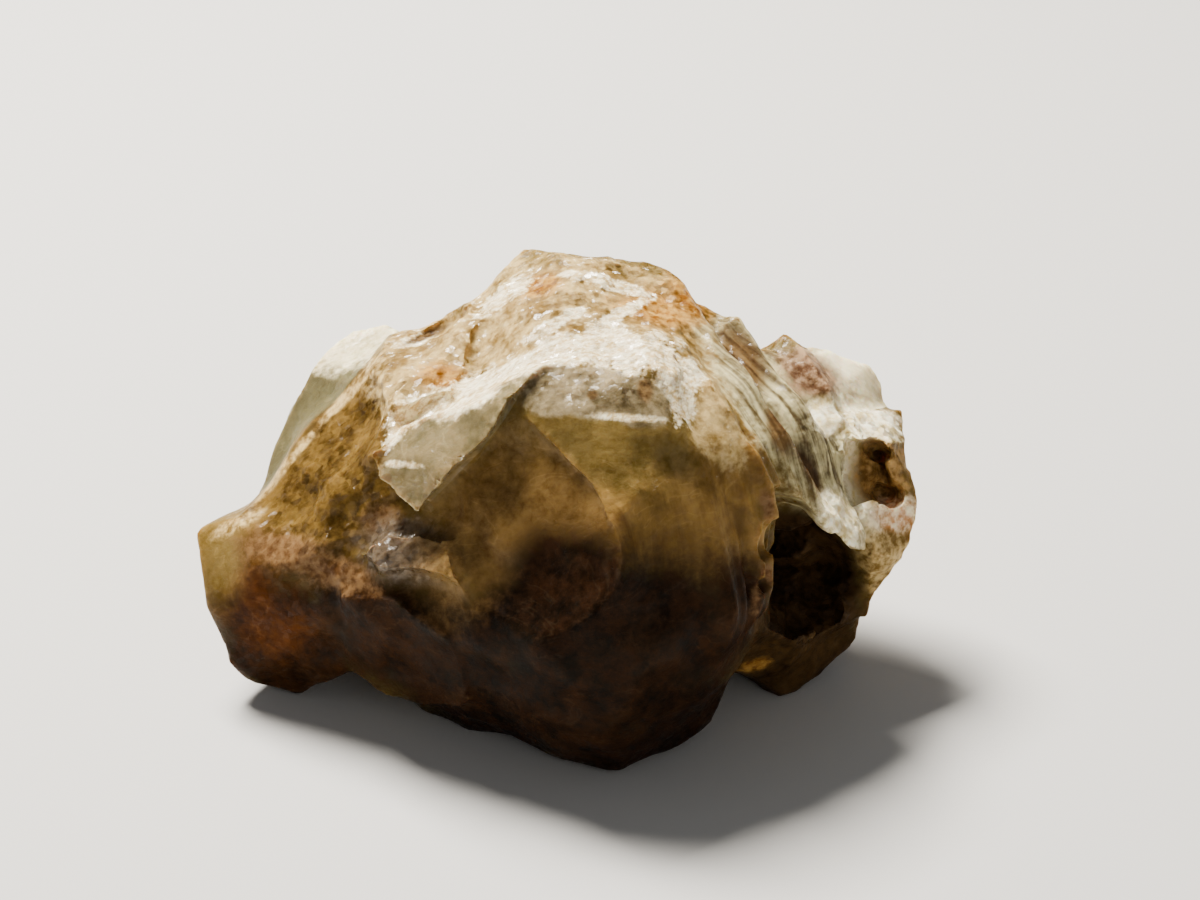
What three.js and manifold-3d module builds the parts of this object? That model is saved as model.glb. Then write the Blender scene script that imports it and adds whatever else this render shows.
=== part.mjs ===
// A rough crystal of herderite, one grown mass broken from its pocket: a dark honey-brown heart with a
// pale flake on its front, an ochre end and a pale crystal at the left, a striated wing at the right that
// overhangs a dark hollow, and a pale crystal behind it. Millimetres, +Z up, resting on its flat broken base.
//
// The mass is a field: each lobe is the convex hull of its corners, the lobes are joined, breaks and hollows
// are taken out, and shallow relief is cut in. The surface where the field is zero is then skinned.
import * as THREE from "three";
import { ConvexHull } from "three/addons/math/ConvexHull.js";
import { mergeVertices } from "three/addons/utils/BufferGeometryUtils.js";
import Module from "manifold-3d";

const wasm = await Module();
wasm.setup();

// The eye that the visible corners are placed from.
const eyeElevation = THREE.MathUtils.degToRad(30);
const eyeDistance = 130; // mm
const aim = new THREE.Vector3(1.8, 1.4, 9.2);
const right = new THREE.Vector3(1, 0, 0);
const up = new THREE.Vector3(0, Math.sin(eyeElevation), Math.cos(eyeElevation));
const toEye = new THREE.Vector3(0, -Math.cos(eyeElevation), Math.sin(eyeElevation));

const cell = 0.7; // the size of the skin's facets, mm
const edgeSoftness = 0.25; // how far the lobes' edges are worn
const joinSoftness = 0.9; // how far the creases between lobes are filled
const breakSoftness = 0.4; // how far the faces of a break run into each other
const warpHeight = 0.08; // how far straight edges wander
const chipDepth = 0.6;
const chipSpacing = 3.3;
const ribDepth = 0.5; // of the wing's striations
const ribSpacing = 2.5;
const ribSway = 0.22; // as a share of their spacing
const unevenness = 0.8; // of the grooves' depths and of the chips' places
const reliefLift = 0.2; // sets the ridges of the relief on the lobes' faces

// A corner that lies at u to the right and v up in the view from the eye, and w nearer to it than the aim.
function seen(u, v, w) {
  const shrink = 1 - w / eyeDistance;
  return aim
    .clone()
    .addScaledVector(right, u * shrink)
    .addScaledVector(up, v * shrink)
    .addScaledVector(toEye, w);
}

// A corner on a hidden side.
const at = (x, y, z) => new THREE.Vector3(x, y, z);

// A direction given along right, up and toEye.
const direction = (u, v, w) =>
  new THREE.Vector3().addScaledVector(right, u).addScaledVector(up, v).addScaledVector(toEye, w).normalize();

// 0 up to low, 1 from high on, and a straight line between them.
const ramp = (x, low, high) => THREE.MathUtils.clamp((x - low) / (high - low), 0, 1);

const lobes = {
  heart: [
    seen(-2.6, 8.3, 0.8), // summit
    seen(-5.4, 6.2, 1.0),
    seen(-1.6, 8.0, 2.6),
    seen(0.3, 7.8, 1.2),
    seen(3.0, 7.3, 1.4),
    seen(3.9, 6.8, 1.6),
    seen(4.9, 5.4, 2.0),
    seen(-3.2, 3.6, 6.6), // bright shoulder
    seen(-0.8, 4.8, 6.3),
    seen(3.2, 3.9, 6.6),
    seen(4.4, 2.6, 6.8),
    seen(-3.0, 2.3, 7.9), // top of the front
    seen(-1.2, 3.5, 7.9),
    seen(2.0, 2.6, 8.5),
    seen(2.8, 0.9, 9.1),
    seen(-2.4, 0.4, 9.0), // ridge down the front
    seen(-0.2, -2.0, 9.9),
    seen(0.7, -4.6, 10.3),
    seen(6.2, 0.2, 6.8), // right edge of the front
    seen(6.8, -1.4, 7.0),
    seen(6.6, -3.6, 7.0),
    seen(7.1, -4.9, 6.5),
    seen(6.9, -6.1, 6.0),
    seen(-8.4, 1.0, 4.8), // belt
    seen(-8.4, -4.8, 5.2),
    seen(-6.6, -7.2, 6.4),
    seen(-3.4, -9.0, 7.6),
    seen(-1.6, -7.2, 9.2),
    seen(0.6, -10.8, 7.8),
    seen(2.6, -8.0, 8.8),
    seen(4.2, -9.4, 6.4),
    seen(6.1, -7.5, 4.8),
    seen(-8.2, -8.6, 3.4), // under the belt
    seen(-5.6, -9.9, 4.0),
    seen(-2.4, -11.2, 5.6),
    seen(3.2, -11.2, 4.8),
    seen(5.5, -9.4, 1.4),
    seen(-1.0, -12.8, 3.4), // foot
    seen(0.5, -13.1, 3.6),
    seen(1.9, -12.7, 3.2),
    seen(-2.8, -12.2, 2.0),
    seen(-7.2, -10.6, -0.4),
    seen(4.2, -11.7, 1.4),
    at(-6.0, 3.5, -0.5),
    at(5.5, 4.0, -0.5),
    at(0.0, 5.5, -0.5),
    at(-8.2, 5.8, 6.0), // back
    at(-3.0, 8.2, 4.6),
    at(0.6, 8.0, 8.6),
    at(4.6, 7.6, 5.6),
    at(8.0, 5.4, 6.0),
    at(-5.5, 6.2, 11.6),
    at(-1.0, 6.6, 13.2),
    at(4.5, 5.8, 12.6),
  ],
  flake: [
    seen(-9.3, -0.2, 6.0),
    seen(-8.2, 1.2, 5.8),
    seen(-7.2, 1.6, 6.4),
    seen(-3.1, 2.6, 8.5),
    seen(-3.2, 2.0, 8.8),
    seen(-4.0, 0.8, 8.9),
    seen(-5.8, -1.3, 8.7),
    seen(-6.8, -2.2, 8.2),
    seen(-7.6, -3.3, 7.6),
    seen(-8.5, -2.1, 6.6),
    seen(-5.0, 0.0, 3.0),
    seen(-2.2, 3.2, 7.4),
  ],
  ledge: [
    seen(-9.8, -3.8, 5.0),
    seen(-8.4, -2.9, 5.8),
    seen(-7.4, -3.2, 6.4),
    seen(-8.8, -4.8, 6.2),
    seen(-7.2, -4.9, 7.2),
    seen(-5.4, -5.4, 7.8),
    seen(-5.0, -3.6, 7.6),
    seen(-7.0, -5.6, 2.0),
  ],
  ochreEnd: [
    seen(-16.6, -3.1, 0.2),
    seen(-16.6, -4.6, 0.6),
    seen(-16.0, -6.9, 0.4),
    seen(-15.1, -8.6, -0.4),
    seen(-13.6, -9.8, -1.2),
    seen(-12.0, -10.0, -1.2),
    seen(-10.0, -8.9, 1.2),
    seen(-15.2, -2.5, -0.8),
    seen(-13.6, -1.8, -1.0),
    seen(-13.8, -4.6, 2.6), // streak
    seen(-11.2, -3.9, 4.0),
    seen(-14.2, -6.2, 2.2),
    seen(-10.8, -7.0, 3.4),
    seen(-9.6, -2.0, 3.0),
    at(-12.5, 2.8, 4.4),
    at(-11.5, 1.0, 0.6),
    at(-5.0, 3.0, 2.0),
    at(-5.0, -2.0, 4.0),
  ],
  brownShoulder: [
    seen(-13.8, -1.8, -0.2),
    seen(-12.2, 0.0, 0.9),
    seen(-10.8, 1.8, 1.8),
    seen(-9.2, 3.2, 2.3),
    seen(-7.8, 3.8, 3.0),
    seen(-8.2, 1.6, 4.8),
    seen(-9.2, -0.2, 4.9),
    seen(-8.4, -2.6, 5.4),
    seen(-9.2, -5.0, 5.2),
    seen(-8.0, -6.0, 5.6),
    seen(-8.6, -7.6, 4.4),
    seen(-8.8, -9.2, 1.8),
    seen(-10.6, -8.4, 1.6),
    seen(-13.4, -4.0, 2.2),
    at(-10.0, 2.0, 3.0),
    at(-8.0, 3.0, 9.0),
    at(-4.0, 0.0, 4.0),
  ],
  belly: [
    seen(-10.4, -7.2, 3.1),
    seen(-9.8, -8.8, 1.7),
    seen(-8.6, -9.9, 1.2),
    seen(-7.0, -10.6, 1.6),
    seen(-5.4, -10.0, 4.2),
    seen(-6.2, -7.6, 6.5),
    seen(-8.2, -6.0, 5.8),
    seen(-10.0, -6.0, 4.1),
    seen(-8.0, -8.0, -3.0),
    seen(-4.0, -7.0, 0.0),
  ],
  paleCrystal: [
    seen(-13.8, -1.9, -1.2),
    seen(-13.2, 0.4, -0.9),
    seen(-12.5, 2.3, -0.6),
    seen(-11.9, 3.2, -0.4),
    seen(-10.2, 2.7, 1.6),
    seen(-11.6, 0.0, 1.0),
    seen(-10.7, 4.7, -1.4),
    seen(-10.1, 5.1, -1.8),
    seen(-8.6, 5.2, -1.6),
    seen(-8.0, 4.9, -0.6),
    seen(-8.2, 3.6, 1.6),
    at(-11.5, 5.6, 7.0),
    at(-8.5, 7.0, 8.0),
    at(-11.8, 3.5, 2.8),
    at(-4.0, 5.0, 3.0),
    at(-4.0, 5.5, 11.0),
  ],
  leftCore: [
    seen(-13.0, -2.2, -0.4),
    seen(-12.0, 0.6, 0.4),
    seen(-10.2, 2.5, 1.6),
    seen(-8.6, 4.2, 1.2),
    seen(-6.5, 4.8, 1.6),
    seen(-7.0, 2.6, 4.4),
    seen(-8.8, 0.4, 4.4),
    seen(-12.2, -5.0, 2.6),
    seen(-9.5, -6.5, 3.6),
    at(-11.2, 4.6, 6.2),
    at(-12.2, 3.2, 4.2),
    at(-11.0, 3.4, 2.2),
    at(-6.0, 5.5, 3.0),
    at(-6.0, 6.0, 9.0),
    at(-9.0, 0.5, 1.4),
  ],
  tanLump: [
    seen(-9.0, 3.2, 2.6),
    seen(-8.2, 4.6, 0.8),
    seen(-5.8, 4.9, 3.4),
    seen(-5.0, 3.8, 5.0),
    seen(-6.0, 2.4, 5.8),
    seen(-8.2, 1.8, 4.9),
    seen(-6.8, 5.1, -0.2),
    seen(-5.4, 6.0, 1.4),
    seen(-5.0, 2.0, 2.0),
    at(-4.0, 6.0, 10.5),
    at(-7.0, 5.0, 8.0),
  ],
  rightWing: [
    seen(4.9, 5.4, 2.0),
    seen(6.4, 4.8, 0.8),
    seen(4.6, 2.4, 6.4),
    seen(6.2, 0.2, 6.8),
    seen(6.9, -1.3, 6.6),
    seen(7.9, -1.8, 6.0),
    seen(9.3, -3.0, 4.8),
    seen(10.5, -4.2, 3.6),
    seen(11.0, -4.4, 2.8),
    seen(10.4, -2.0, 2.6),
    seen(9.8, 0.9, 2.0),
    seen(8.8, 2.8, 0.8),
    seen(7.4, 4.3, 0.3),
    at(8.0, 5.5, 8.0),
    at(3.0, 6.0, 9.0),
    at(3.0, 0.0, 7.5),
    at(9.5, 4.5, 6.6),
  ],
  lowerRight: [
    seen(5.4, -6.6, 4.2),
    seen(5.6, -9.2, 1.2),
    seen(7.4, -9.8, -1.4),
    seen(8.9, -9.5, -1.6),
    seen(10.6, -8.2, -2.0),
    seen(10.6, -6.4, -0.8),
    seen(9.2, -6.6, 1.2),
    seen(7.8, -7.2, 2.0),
    at(9.0, 3.4, 0.4),
    at(11.5, 3.0, 4.5),
    at(3.0, 3.0, 1.0),
    at(3.0, 2.0, 6.0),
  ],
  rightTip: [
    seen(9.4, 1.6, 1.5),
    seen(12.3, 1.7, -1.3),
    seen(12.8, 0.5, 0.3),
    seen(10.4, 0.4, 2.7),
    seen(11.6, 0.3, 1.5),
    seen(12.4, -2.2, 0.8),
    seen(12.9, -2.7, 0.6),
    seen(12.7, -3.8, 0.6),
    seen(11.7, -5.2, 0.2),
    seen(10.6, -6.4, -0.8),
    seen(11.0, -4.6, 1.8),
    seen(10.4, -1.8, 1.9),
    at(12.6, 3.0, 7.0),
    at(11.0, 4.8, 8.6),
    at(5.0, 3.0, 6.0),
    at(11.2, 3.6, 4.4),
    at(13.2, 3.4, 6.4),
  ],
  rightBackCrystal: [
    seen(7.6, 4.4, -0.6),
    seen(9.8, 4.1, -1.6),
    seen(10.9, 3.6, -2.0),
    seen(11.5, 2.7, -2.0),
    seen(11.6, 1.7, -1.6),
    seen(10.2, 1.0, 0.9),
    seen(8.9, 2.4, 1.2),
    seen(7.2, 3.8, 1.2),
    at(11.2, 6.2, 8.6),
    at(8.0, 7.5, 9.4),
    at(4.0, 6.0, 6.0),
    at(4.0, 4.0, 9.0),
  ],
};

// Hollows, as ellipsoids: a centre, radii along right, up and toEye, and a turn about toEye in degrees.
const hollows = {
  topCrease: { centre: seen(-6.8, 5.3, 4.4), radii: [1.8, 0.5, 2.6], turn: 25 },
  underLeft: { centre: seen(-10.4, -11.0, 1.2), radii: [1.9, 1.7, 2.6], turn: -20 },
};

// Pieces that have broken away, each the convex hull of its corners.
const breaks = {
  frontFace: [
    seen(-2.9, 0.3, 8.85), // its sharp right edge
    seen(-1.6, -1.2, 9.3),
    seen(-0.6, -2.2, 9.65),
    seen(0.3, -3.1, 9.9),
    seen(0.75, -4.3, 10.05),
    seen(0.6, -5.6, 9.95),
    seen(-3.3, -1.0, 7.9), // its floor
    seen(-1.3, -2.9, 8.85),
    seen(-0.2, -4.9, 9.4),
    seen(-3.4, 1.8, 8.0),
    seen(-4.2, 0.6, 7.7),
    seen(-5.2, -1.0, 7.1),
    seen(-6.4, -2.6, 6.9),
    seen(-5.4, -4.4, 7.1),
    seen(-1.0, -7.4, 9.4), // where it runs out in the lower front
    seen(-3.0, -7.4, 8.4),
    seen(-5.0, -6.4, 7.6),
    seen(-2.4, 1.8, 13.0), // its open side
    seen(-6.6, -2.4, 13.0),
    seen(-5.0, -6.0, 13.0),
    seen(1.2, -4.0, 13.0),
    seen(-0.6, -7.6, 13.0),
  ],
  tipRecess: [
    seen(10.2, 0.1, 1.3),
    seen(11.4, 0.1, 0.3),
    seen(11.4, -1.5, 0.4),
    seen(10.4, -1.9, 1.8),
    seen(10.0, 0.2, 6.0),
    seen(12.0, 0.2, 5.0),
    seen(12.1, -1.4, 5.0),
    seen(10.2, -2.3, 6.0),
  ],
  darkHollow: [
    seen(7.1, -1.9, 9.0), // its open side
    seen(8.1, -2.1, 9.0),
    seen(9.4, -3.3, 9.0),
    seen(10.5, -4.8, 9.0),
    seen(9.8, -6.4, 9.0),
    seen(7.6, -7.6, 9.0),
    seen(6.9, -6.5, 9.0),
    seen(7.0, -2.0, 2.6), // under the wing
    seen(8.4, -2.2, 2.0),
    seen(9.6, -3.6, 1.4),
    seen(10.3, -5.0, 0.4),
    seen(9.4, -6.6, -0.2), // its floor
    seen(7.8, -7.6, 0.6),
    seen(6.6, -7.2, 1.6),
    seen(7.0, -4.6, -1.0),
    seen(8.6, -4.6, -1.4),
  ],
  backFace: [
    at(-6.5, 8.6, 9.0),
    at(-2.0, 8.0, 4.0),
    at(-5.0, 5.9, 6.0),
    at(-7.4, 5.4, 3.0),
    at(-8.6, 5.2, 7.5),
    at(-8.0, 12.0, 4.0),
    at(-4.0, 12.0, 8.0),
  ],
};

// The greater of two values, rounded over where they are within softness of each other.
function softMax(a, b, softness) {
  const share = Math.max(softness - Math.abs(a - b), 0) / softness;
  return Math.max(a, b) + (share * share * softness) / 4;
}

const softMin = (a, b, softness) => -softMax(-a, -b, softness);

function hullField(corners, softness) {
  const sameFacing = 0.995; // cosine
  const sameLevel = 0.05; // mm
  const planes = [];
  for (const { normal, constant } of new ConvexHull().setFromPoints(corners).faces) {
    const isSame = (q) => q.normal.dot(normal) > sameFacing && Math.abs(q.constant - constant) < sameLevel;
    if (!planes.some(isSame)) planes.push({ normal, constant });
  }
  return (p) => planes.map((q) => q.normal.dot(p) - q.constant).reduce((a, b) => softMax(a, b, softness));
}

function hollowField({ centre, radii, turn }) {
  const angle = THREE.MathUtils.degToRad(turn);
  const across = right.clone().multiplyScalar(Math.cos(angle)).addScaledVector(up, Math.sin(angle));
  const along = up.clone().multiplyScalar(Math.cos(angle)).addScaledVector(right, -Math.sin(angle));
  const [a, b, c] = radii;
  const least = Math.min(a, b, c);
  const offset = new THREE.Vector3();
  return (p) => {
    offset.subVectors(p, centre);
    return (Math.hypot(offset.dot(across) / a, offset.dot(along) / b, offset.dot(toEye) / c) - 1) * least;
  };
}

// Waves in directions that a seed sets, the first 7 mm long and each one shorter and lower than the last.
function waves(p, seed) {
  let height = 0;
  for (let i = 0; i < 8; i++) {
    const turn = (i + seed) * 2.4;
    const rise = Math.cos((i + seed) * 1.7);
    const flat = Math.sqrt(1 - rise * rise);
    const along = p.x * flat * Math.cos(turn) + p.y * flat * Math.sin(turn) + p.z * rise;
    height += Math.sin(along * (0.9 + 0.3 * i) + (i + seed) * 1.3) / (1 + 0.35 * i);
  }
  return height;
}

// From -0.5 to 0.5, unlike for any two numbers.
function jitter(n) {
  const value = Math.sin(n) * 43758.5453;
  return value - Math.floor(value) - 0.5;
}

// Shell-shaped scars round scattered seeds, 1 at their seeds and near 0 on the sharp ridges between them.
function scars(x, y, z) {
  const [i, j, k] = [x, y, z].map(Math.floor);
  let least = Infinity;
  for (let a = i - 1; a <= i + 1; a++)
    for (let b = j - 1; b <= j + 1; b++)
      for (let c = k - 1; c <= k + 1; c++) {
        const n = a * 127.1 + b * 311.7 + c * 74.7;
        const dx = a + 0.5 + unevenness * jitter(n) - x;
        const dy = b + 0.5 + unevenness * jitter(n + 11.3) - y;
        const dz = c + 0.5 + unevenness * jitter(n + 23.9) - z;
        least = Math.min(least, dx * dx + dy * dy + dz * dz);
      }
  return 1 - least;
}

// The wing's striations run down it and to the right, as grooves of uneven depth between ribs.
const ribAlong = direction(0.51, -0.85, 0.14);
const wingFacing = direction(0.6, 0.12, -0.8).cross(ribAlong);
const ribAcross = wingFacing.cross(ribAlong).normalize();

function ribs(p) {
  const across = p.dot(ribAcross) / ribSpacing + ribSway * Math.sin(0.5 * p.dot(ribAlong));
  const groove = 0.5 - 0.5 * Math.cos(2 * Math.PI * across);
  return groove * (1 + unevenness * jitter(Math.floor(across) * 3.7));
}

// The wing is right of the heart, above the dark hollow and left of the tip.
const onWing = (p) => ramp(p.x, 4.5, 6) * ramp(p.z, 5.5, 7.5) * (1 - ramp(p.x, 10, 11.5));

function relief(p) {
  const chips = chipDepth * scars(p.x / chipSpacing, p.y / chipSpacing, p.z / chipSpacing);
  return chips * (1 - 0.5 * onWing(p)) + ribDepth * ribs(p) * onWing(p);
}

const lobeFields = Object.values(lobes).map((corners) => hullField(corners, edgeSoftness));
const awayFields = [
  ...Object.values(breaks).map((corners) => hullField(corners, breakSoftness)),
  ...Object.values(hollows).map(hollowField),
];

// Below zero inside the crystal, above zero outside.
function field(p) {
  const warp = new THREE.Vector3(waves(p, 0), waves(p, 11), waves(p, 23)).multiplyScalar(warpHeight);
  const warped = warp.add(p);
  const joined = lobeFields.map((f) => f(warped)).reduce((a, b) => softMin(a, b, joinSoftness));
  const carved = awayFields.reduce((value, f) => Math.max(value, -f(warped)), joined);
  return carved + relief(p) - reliefLift;
}

// Skins the surface where a field crosses zero. Each grid cell that the surface passes through gets one
// vertex, set where the planes that it meets there cross, so that sharp edges stay sharp.
function skin(value, box, step) {
  const size = box.getSize(new THREE.Vector3()).divideScalar(step).ceil();
  const [nx, ny, nz] = [size.x + 1, size.y + 1, size.z + 1];
  const index = (i, j, k) => i + nx * (j + ny * k);
  const place = (i, j, k) => new THREE.Vector3(i, j, k).multiplyScalar(step).add(box.min);
  const samples = new Float64Array(nx * ny * nz);
  for (let k = 0; k < nz; k++)
    for (let j = 0; j < ny; j++)
      for (let i = 0; i < nx; i++) samples[index(i, j, k)] = value(place(i, j, k));

  // A grid face whose corners alternate inside and outside would tie four sheets to one edge: it is filled.
  const justInside = -0.001;
  const strides = [1, nx, nx * ny];
  for (let changed = true; changed; ) {
    changed = false;
    for (let n = 0; n < samples.length - strides[2] - nx - 1; n++)
      for (const [s, t] of [[0, 1], [1, 2], [2, 0]]) {
        const ring = [n, n + strides[s], n + strides[s] + strides[t], n + strides[t]];
        const inside = ring.map((m) => samples[m] < 0);
        if (inside[0] === inside[2] && inside[1] === inside[3] && inside[0] !== inside[1]) {
          samples[ring[inside[0] ? 1 : 0]] = justInside;
          changed = true;
        }
      }
  }

  // The point between a and b where the field crosses zero, by halving.
  const crossing = (a, b, insideAtA) => {
    const point = new THREE.Vector3();
    for (let halving = 0; halving < 7; halving++) {
      point.lerpVectors(a, b, 0.5);
      (value(point) < 0 === insideAtA ? a : b).copy(point);
    }
    return point;
  };

  const gradient = (p) => {
    const reach = 0.02;
    const slope = new THREE.Vector3();
    for (const axis of ["x", "y", "z"]) {
      const ahead = p.clone();
      const behind = p.clone();
      ahead[axis] += reach;
      behind[axis] -= reach;
      slope[axis] = value(ahead) - value(behind);
    }
    return slope.normalize();
  };

  const corners = [0, 1, 2, 3, 4, 5, 6, 7].map((c) => [c & 1, (c >> 1) & 1, c >> 2]);
  const edges = corners.flatMap((_, a) => [1, 2, 4].filter((bit) => !(a & bit)).map((bit) => [a, a | bit]));
  const vertexOf = new Map();
  const vertices = [];
  const cellVertex = (i, j, k) => {
    const id = index(i, j, k);
    if (vertexOf.has(id)) return vertexOf.get(id);
    const crossings = [];
    for (const [a, b] of edges) {
      const [pa, pb] = [a, b].map((c) => corners[c].map((o, axis) => [i, j, k][axis] + o));
      const [va, vb] = [pa, pb].map((c) => samples[index(...c)]);
      if (va < 0 === vb < 0) continue;
      const point = crossing(place(...pa), place(...pb), va < 0);
      crossings.push({ point, normal: gradient(point) });
    }
    const middle = new THREE.Vector3();
    crossings.forEach((c) => middle.addScaledVector(c.point, 1 / crossings.length));
    // Least squares for the point on all the planes, held a little to their middle and kept in its cell.
    const hold = 0.08;
    const margin = 0.05;
    const m = new THREE.Matrix3().set(hold, 0, 0, 0, hold, 0, 0, 0, hold);
    const pull = new THREE.Vector3();
    for (const { point, normal } of crossings) {
      const n = normal.toArray();
      for (let r = 0; r < 3; r++) for (let c = 0; c < 3; c++) m.elements[r + 3 * c] += n[r] * n[c];
      pull.addScaledVector(normal, normal.dot(point.clone().sub(middle)));
    }
    const vertex = pull.applyMatrix3(m.invert()).add(middle);
    const far = 1 - margin;
    vertex.clamp(place(i + margin, j + margin, k + margin), place(i + far, j + far, k + far));
    vertexOf.set(id, vertices.length);
    vertices.push(vertex);
    return vertices.length - 1;
  };

  const triangles = [];
  for (let k = 1; k < nz - 1; k++)
    for (let j = 1; j < ny - 1; j++)
      for (let i = 1; i < nx - 1; i++)
        for (let axis = 0; axis < 3; axis++) {
          const here = samples[index(i, j, k)] < 0;
          const next = samples[index(i, j, k) + strides[axis]] < 0;
          if (here === next) continue;
          const [s, t] = [(axis + 1) % 3, (axis + 2) % 3];
          const ring = [[0, 0], [1, 0], [1, 1], [0, 1]].map(([ds, dt]) => {
            const c = [i, j, k];
            c[s] -= ds;
            c[t] -= dt;
            return cellVertex(...c);
          });
          if (!here) ring.reverse();
          const off = (a, b) => Math.abs(value(vertices[a].clone().lerp(vertices[b], 0.5)));
          const [a, b, c, d] = ring;
          if (off(a, c) < off(b, d)) triangles.push(a, b, c, a, c, d);
          else triangles.push(b, c, d, b, d, a);
        }
  return { positions: vertices.flatMap((v) => v.toArray()), triangles };
}

const solid = (positions, triangles) =>
  new wasm.Manifold(
    new wasm.Mesh({
      numProp: 3,
      vertProperties: new Float32Array(positions),
      triVerts: new Uint32Array(triangles),
    }),
  );

function solidBox(width, depth, height, centre) {
  const box = new THREE.BoxGeometry(width, depth, height).translate(centre.x, centre.y, centre.z);
  box.deleteAttribute("normal");
  box.deleteAttribute("uv");
  const merged = mergeVertices(box);
  return solid(merged.attributes.position.array, merged.index.array);
}

const reach = new THREE.Box3(at(-17, -13, -2.2), at(17, 12, 21));
const { positions, triangles } = skin(field, reach, cell);

// The base is broken off flat at the ground, and the crystal is then centred over the origin.
const ground = solidBox(60, 60, 10, at(0, 0, -5));
const cut = solid(positions, triangles).subtract(ground).getMesh();

const geometry = new THREE.BufferGeometry()
  .setAttribute("position", new THREE.BufferAttribute(new Float32Array(cut.vertProperties), 3))
  .setIndex(new THREE.BufferAttribute(new Uint32Array(cut.triVerts), 1));
geometry.computeBoundingBox();
const middle = geometry.boundingBox.getCenter(new THREE.Vector3());
geometry.translate(-middle.x, -middle.y, 0);
geometry.computeVertexNormals();

const crystal = new THREE.Mesh(
  geometry,
  new THREE.MeshStandardMaterial({ color: 0x8a6232, roughness: 0.45, metalness: 0 }),
);
crystal.name = "crystal";

const part = new THREE.Group();
part.add(crystal);
export default part;
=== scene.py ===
"""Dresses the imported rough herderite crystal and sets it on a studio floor.

The crystal is skinned again, much finer than its solid, from the same lobes, breaks and hollows. Geometry
nodes then grain the skin, patches of it are marked, and one material gives each patch its own finish.
Shapes are worked out in millimetres, and the finished piece is in metres in the part's own frame.
"""

import math
from collections import namedtuple

import bmesh
import bpy
import numpy as np
from bpy.props import FloatProperty, FloatVectorProperty, IntProperty, PointerProperty
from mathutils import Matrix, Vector
from mathutils.bvhtree import BVHTree


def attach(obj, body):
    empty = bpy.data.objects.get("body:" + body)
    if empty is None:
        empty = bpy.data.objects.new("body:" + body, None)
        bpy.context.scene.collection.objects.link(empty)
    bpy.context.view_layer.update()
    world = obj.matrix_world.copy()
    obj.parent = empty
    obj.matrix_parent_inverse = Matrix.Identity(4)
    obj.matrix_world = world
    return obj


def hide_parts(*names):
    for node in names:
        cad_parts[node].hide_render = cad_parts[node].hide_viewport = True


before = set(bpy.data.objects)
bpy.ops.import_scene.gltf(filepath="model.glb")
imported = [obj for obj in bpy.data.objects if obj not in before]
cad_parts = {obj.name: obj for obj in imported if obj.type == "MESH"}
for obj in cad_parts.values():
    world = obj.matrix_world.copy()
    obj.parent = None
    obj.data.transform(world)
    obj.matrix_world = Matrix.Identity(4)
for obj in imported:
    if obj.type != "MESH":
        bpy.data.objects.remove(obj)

bl_info = {
    "name": "Rough herderite crystal",
    "version": (1, 0, 0),
    "blender": (4, 5, 0),
    "location": "3D View > Sidebar > Stone",
    "description": "Makes a rough honey-brown crystal with its relief and finish, and a studio for it",
    "category": "Object",
}

MM = 0.001
NODE = "crystal"
BODY = "root"

# The eye that the visible corners and patches are placed from, in the axes that the crystal is laid out in.
EYE_ELEVATION = math.radians(30)
EYE_DISTANCE = 130.0  # mm
AIM = np.array([1.8, 1.4, 9.2])
RIGHT = np.array([1.0, 0.0, 0.0])
UP = np.array([0.0, math.sin(EYE_ELEVATION), math.cos(EYE_ELEVATION)])
TO_EYE = np.array([0.0, -math.cos(EYE_ELEVATION), math.sin(EYE_ELEVATION)])

# How far the laid-out crystal is moved, so that its outline is centred over the part's origin.
CENTRING = np.array([0.032, 1.040, 0.0])  # mm

# The main relief, as the solid has it, mm.
JOIN_SOFTNESS = 0.9
WARP_HEIGHT = 0.08
CHIP_DEPTH = 0.6
CHIP_SPACING = 3.3
RIB_DEPTH = 0.5
RIB_SPACING = 2.5
RIB_SWAY = 0.22
UNEVENNESS = 0.8
RELIEF_LIFT = 0.2

# How far the worn lobes' edges are rounded over, mm, and how many planes mostly meet where they are.
WORN = {"heart": 0.12, "ochreEnd": 0.14, "brownShoulder": 0.12, "leftCore": 0.12, "lowerRight": 0.2}
ROUNDED_PLANES = 3

# The level that the chips keep where they fade.
CHIP_LEVEL = 0.7

# The finer relief, mm, whose chips are drawn out along the summit's grain.
SMALL_CHIP_SPACING = 1.15
GRAIN_STRETCH = 1.9
FINE_RIB_SPACING = 0.8


def seen(u, v, w):
    """A corner that the eye sees at u to the right and v up, and that is w nearer to it than AIM."""
    shrink = 1 - w / EYE_DISTANCE
    return AIM + RIGHT * u * shrink + UP * v * shrink + TO_EYE * w


def at(x, y, z):
    """A corner on a hidden side."""
    return np.array([x, y, z])


def direction(u, v, w):
    """A direction given along RIGHT, UP and TO_EYE."""
    way = RIGHT * u + UP * v + TO_EYE * w
    return way / np.linalg.norm(way)


def ramp(values, low, high):
    """0 up to low, 1 from high on, and a straight line between them."""
    return np.clip((values - low) / (high - low), 0, 1)


Hollow = namedtuple("Hollow", "centre radii turn")

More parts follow.
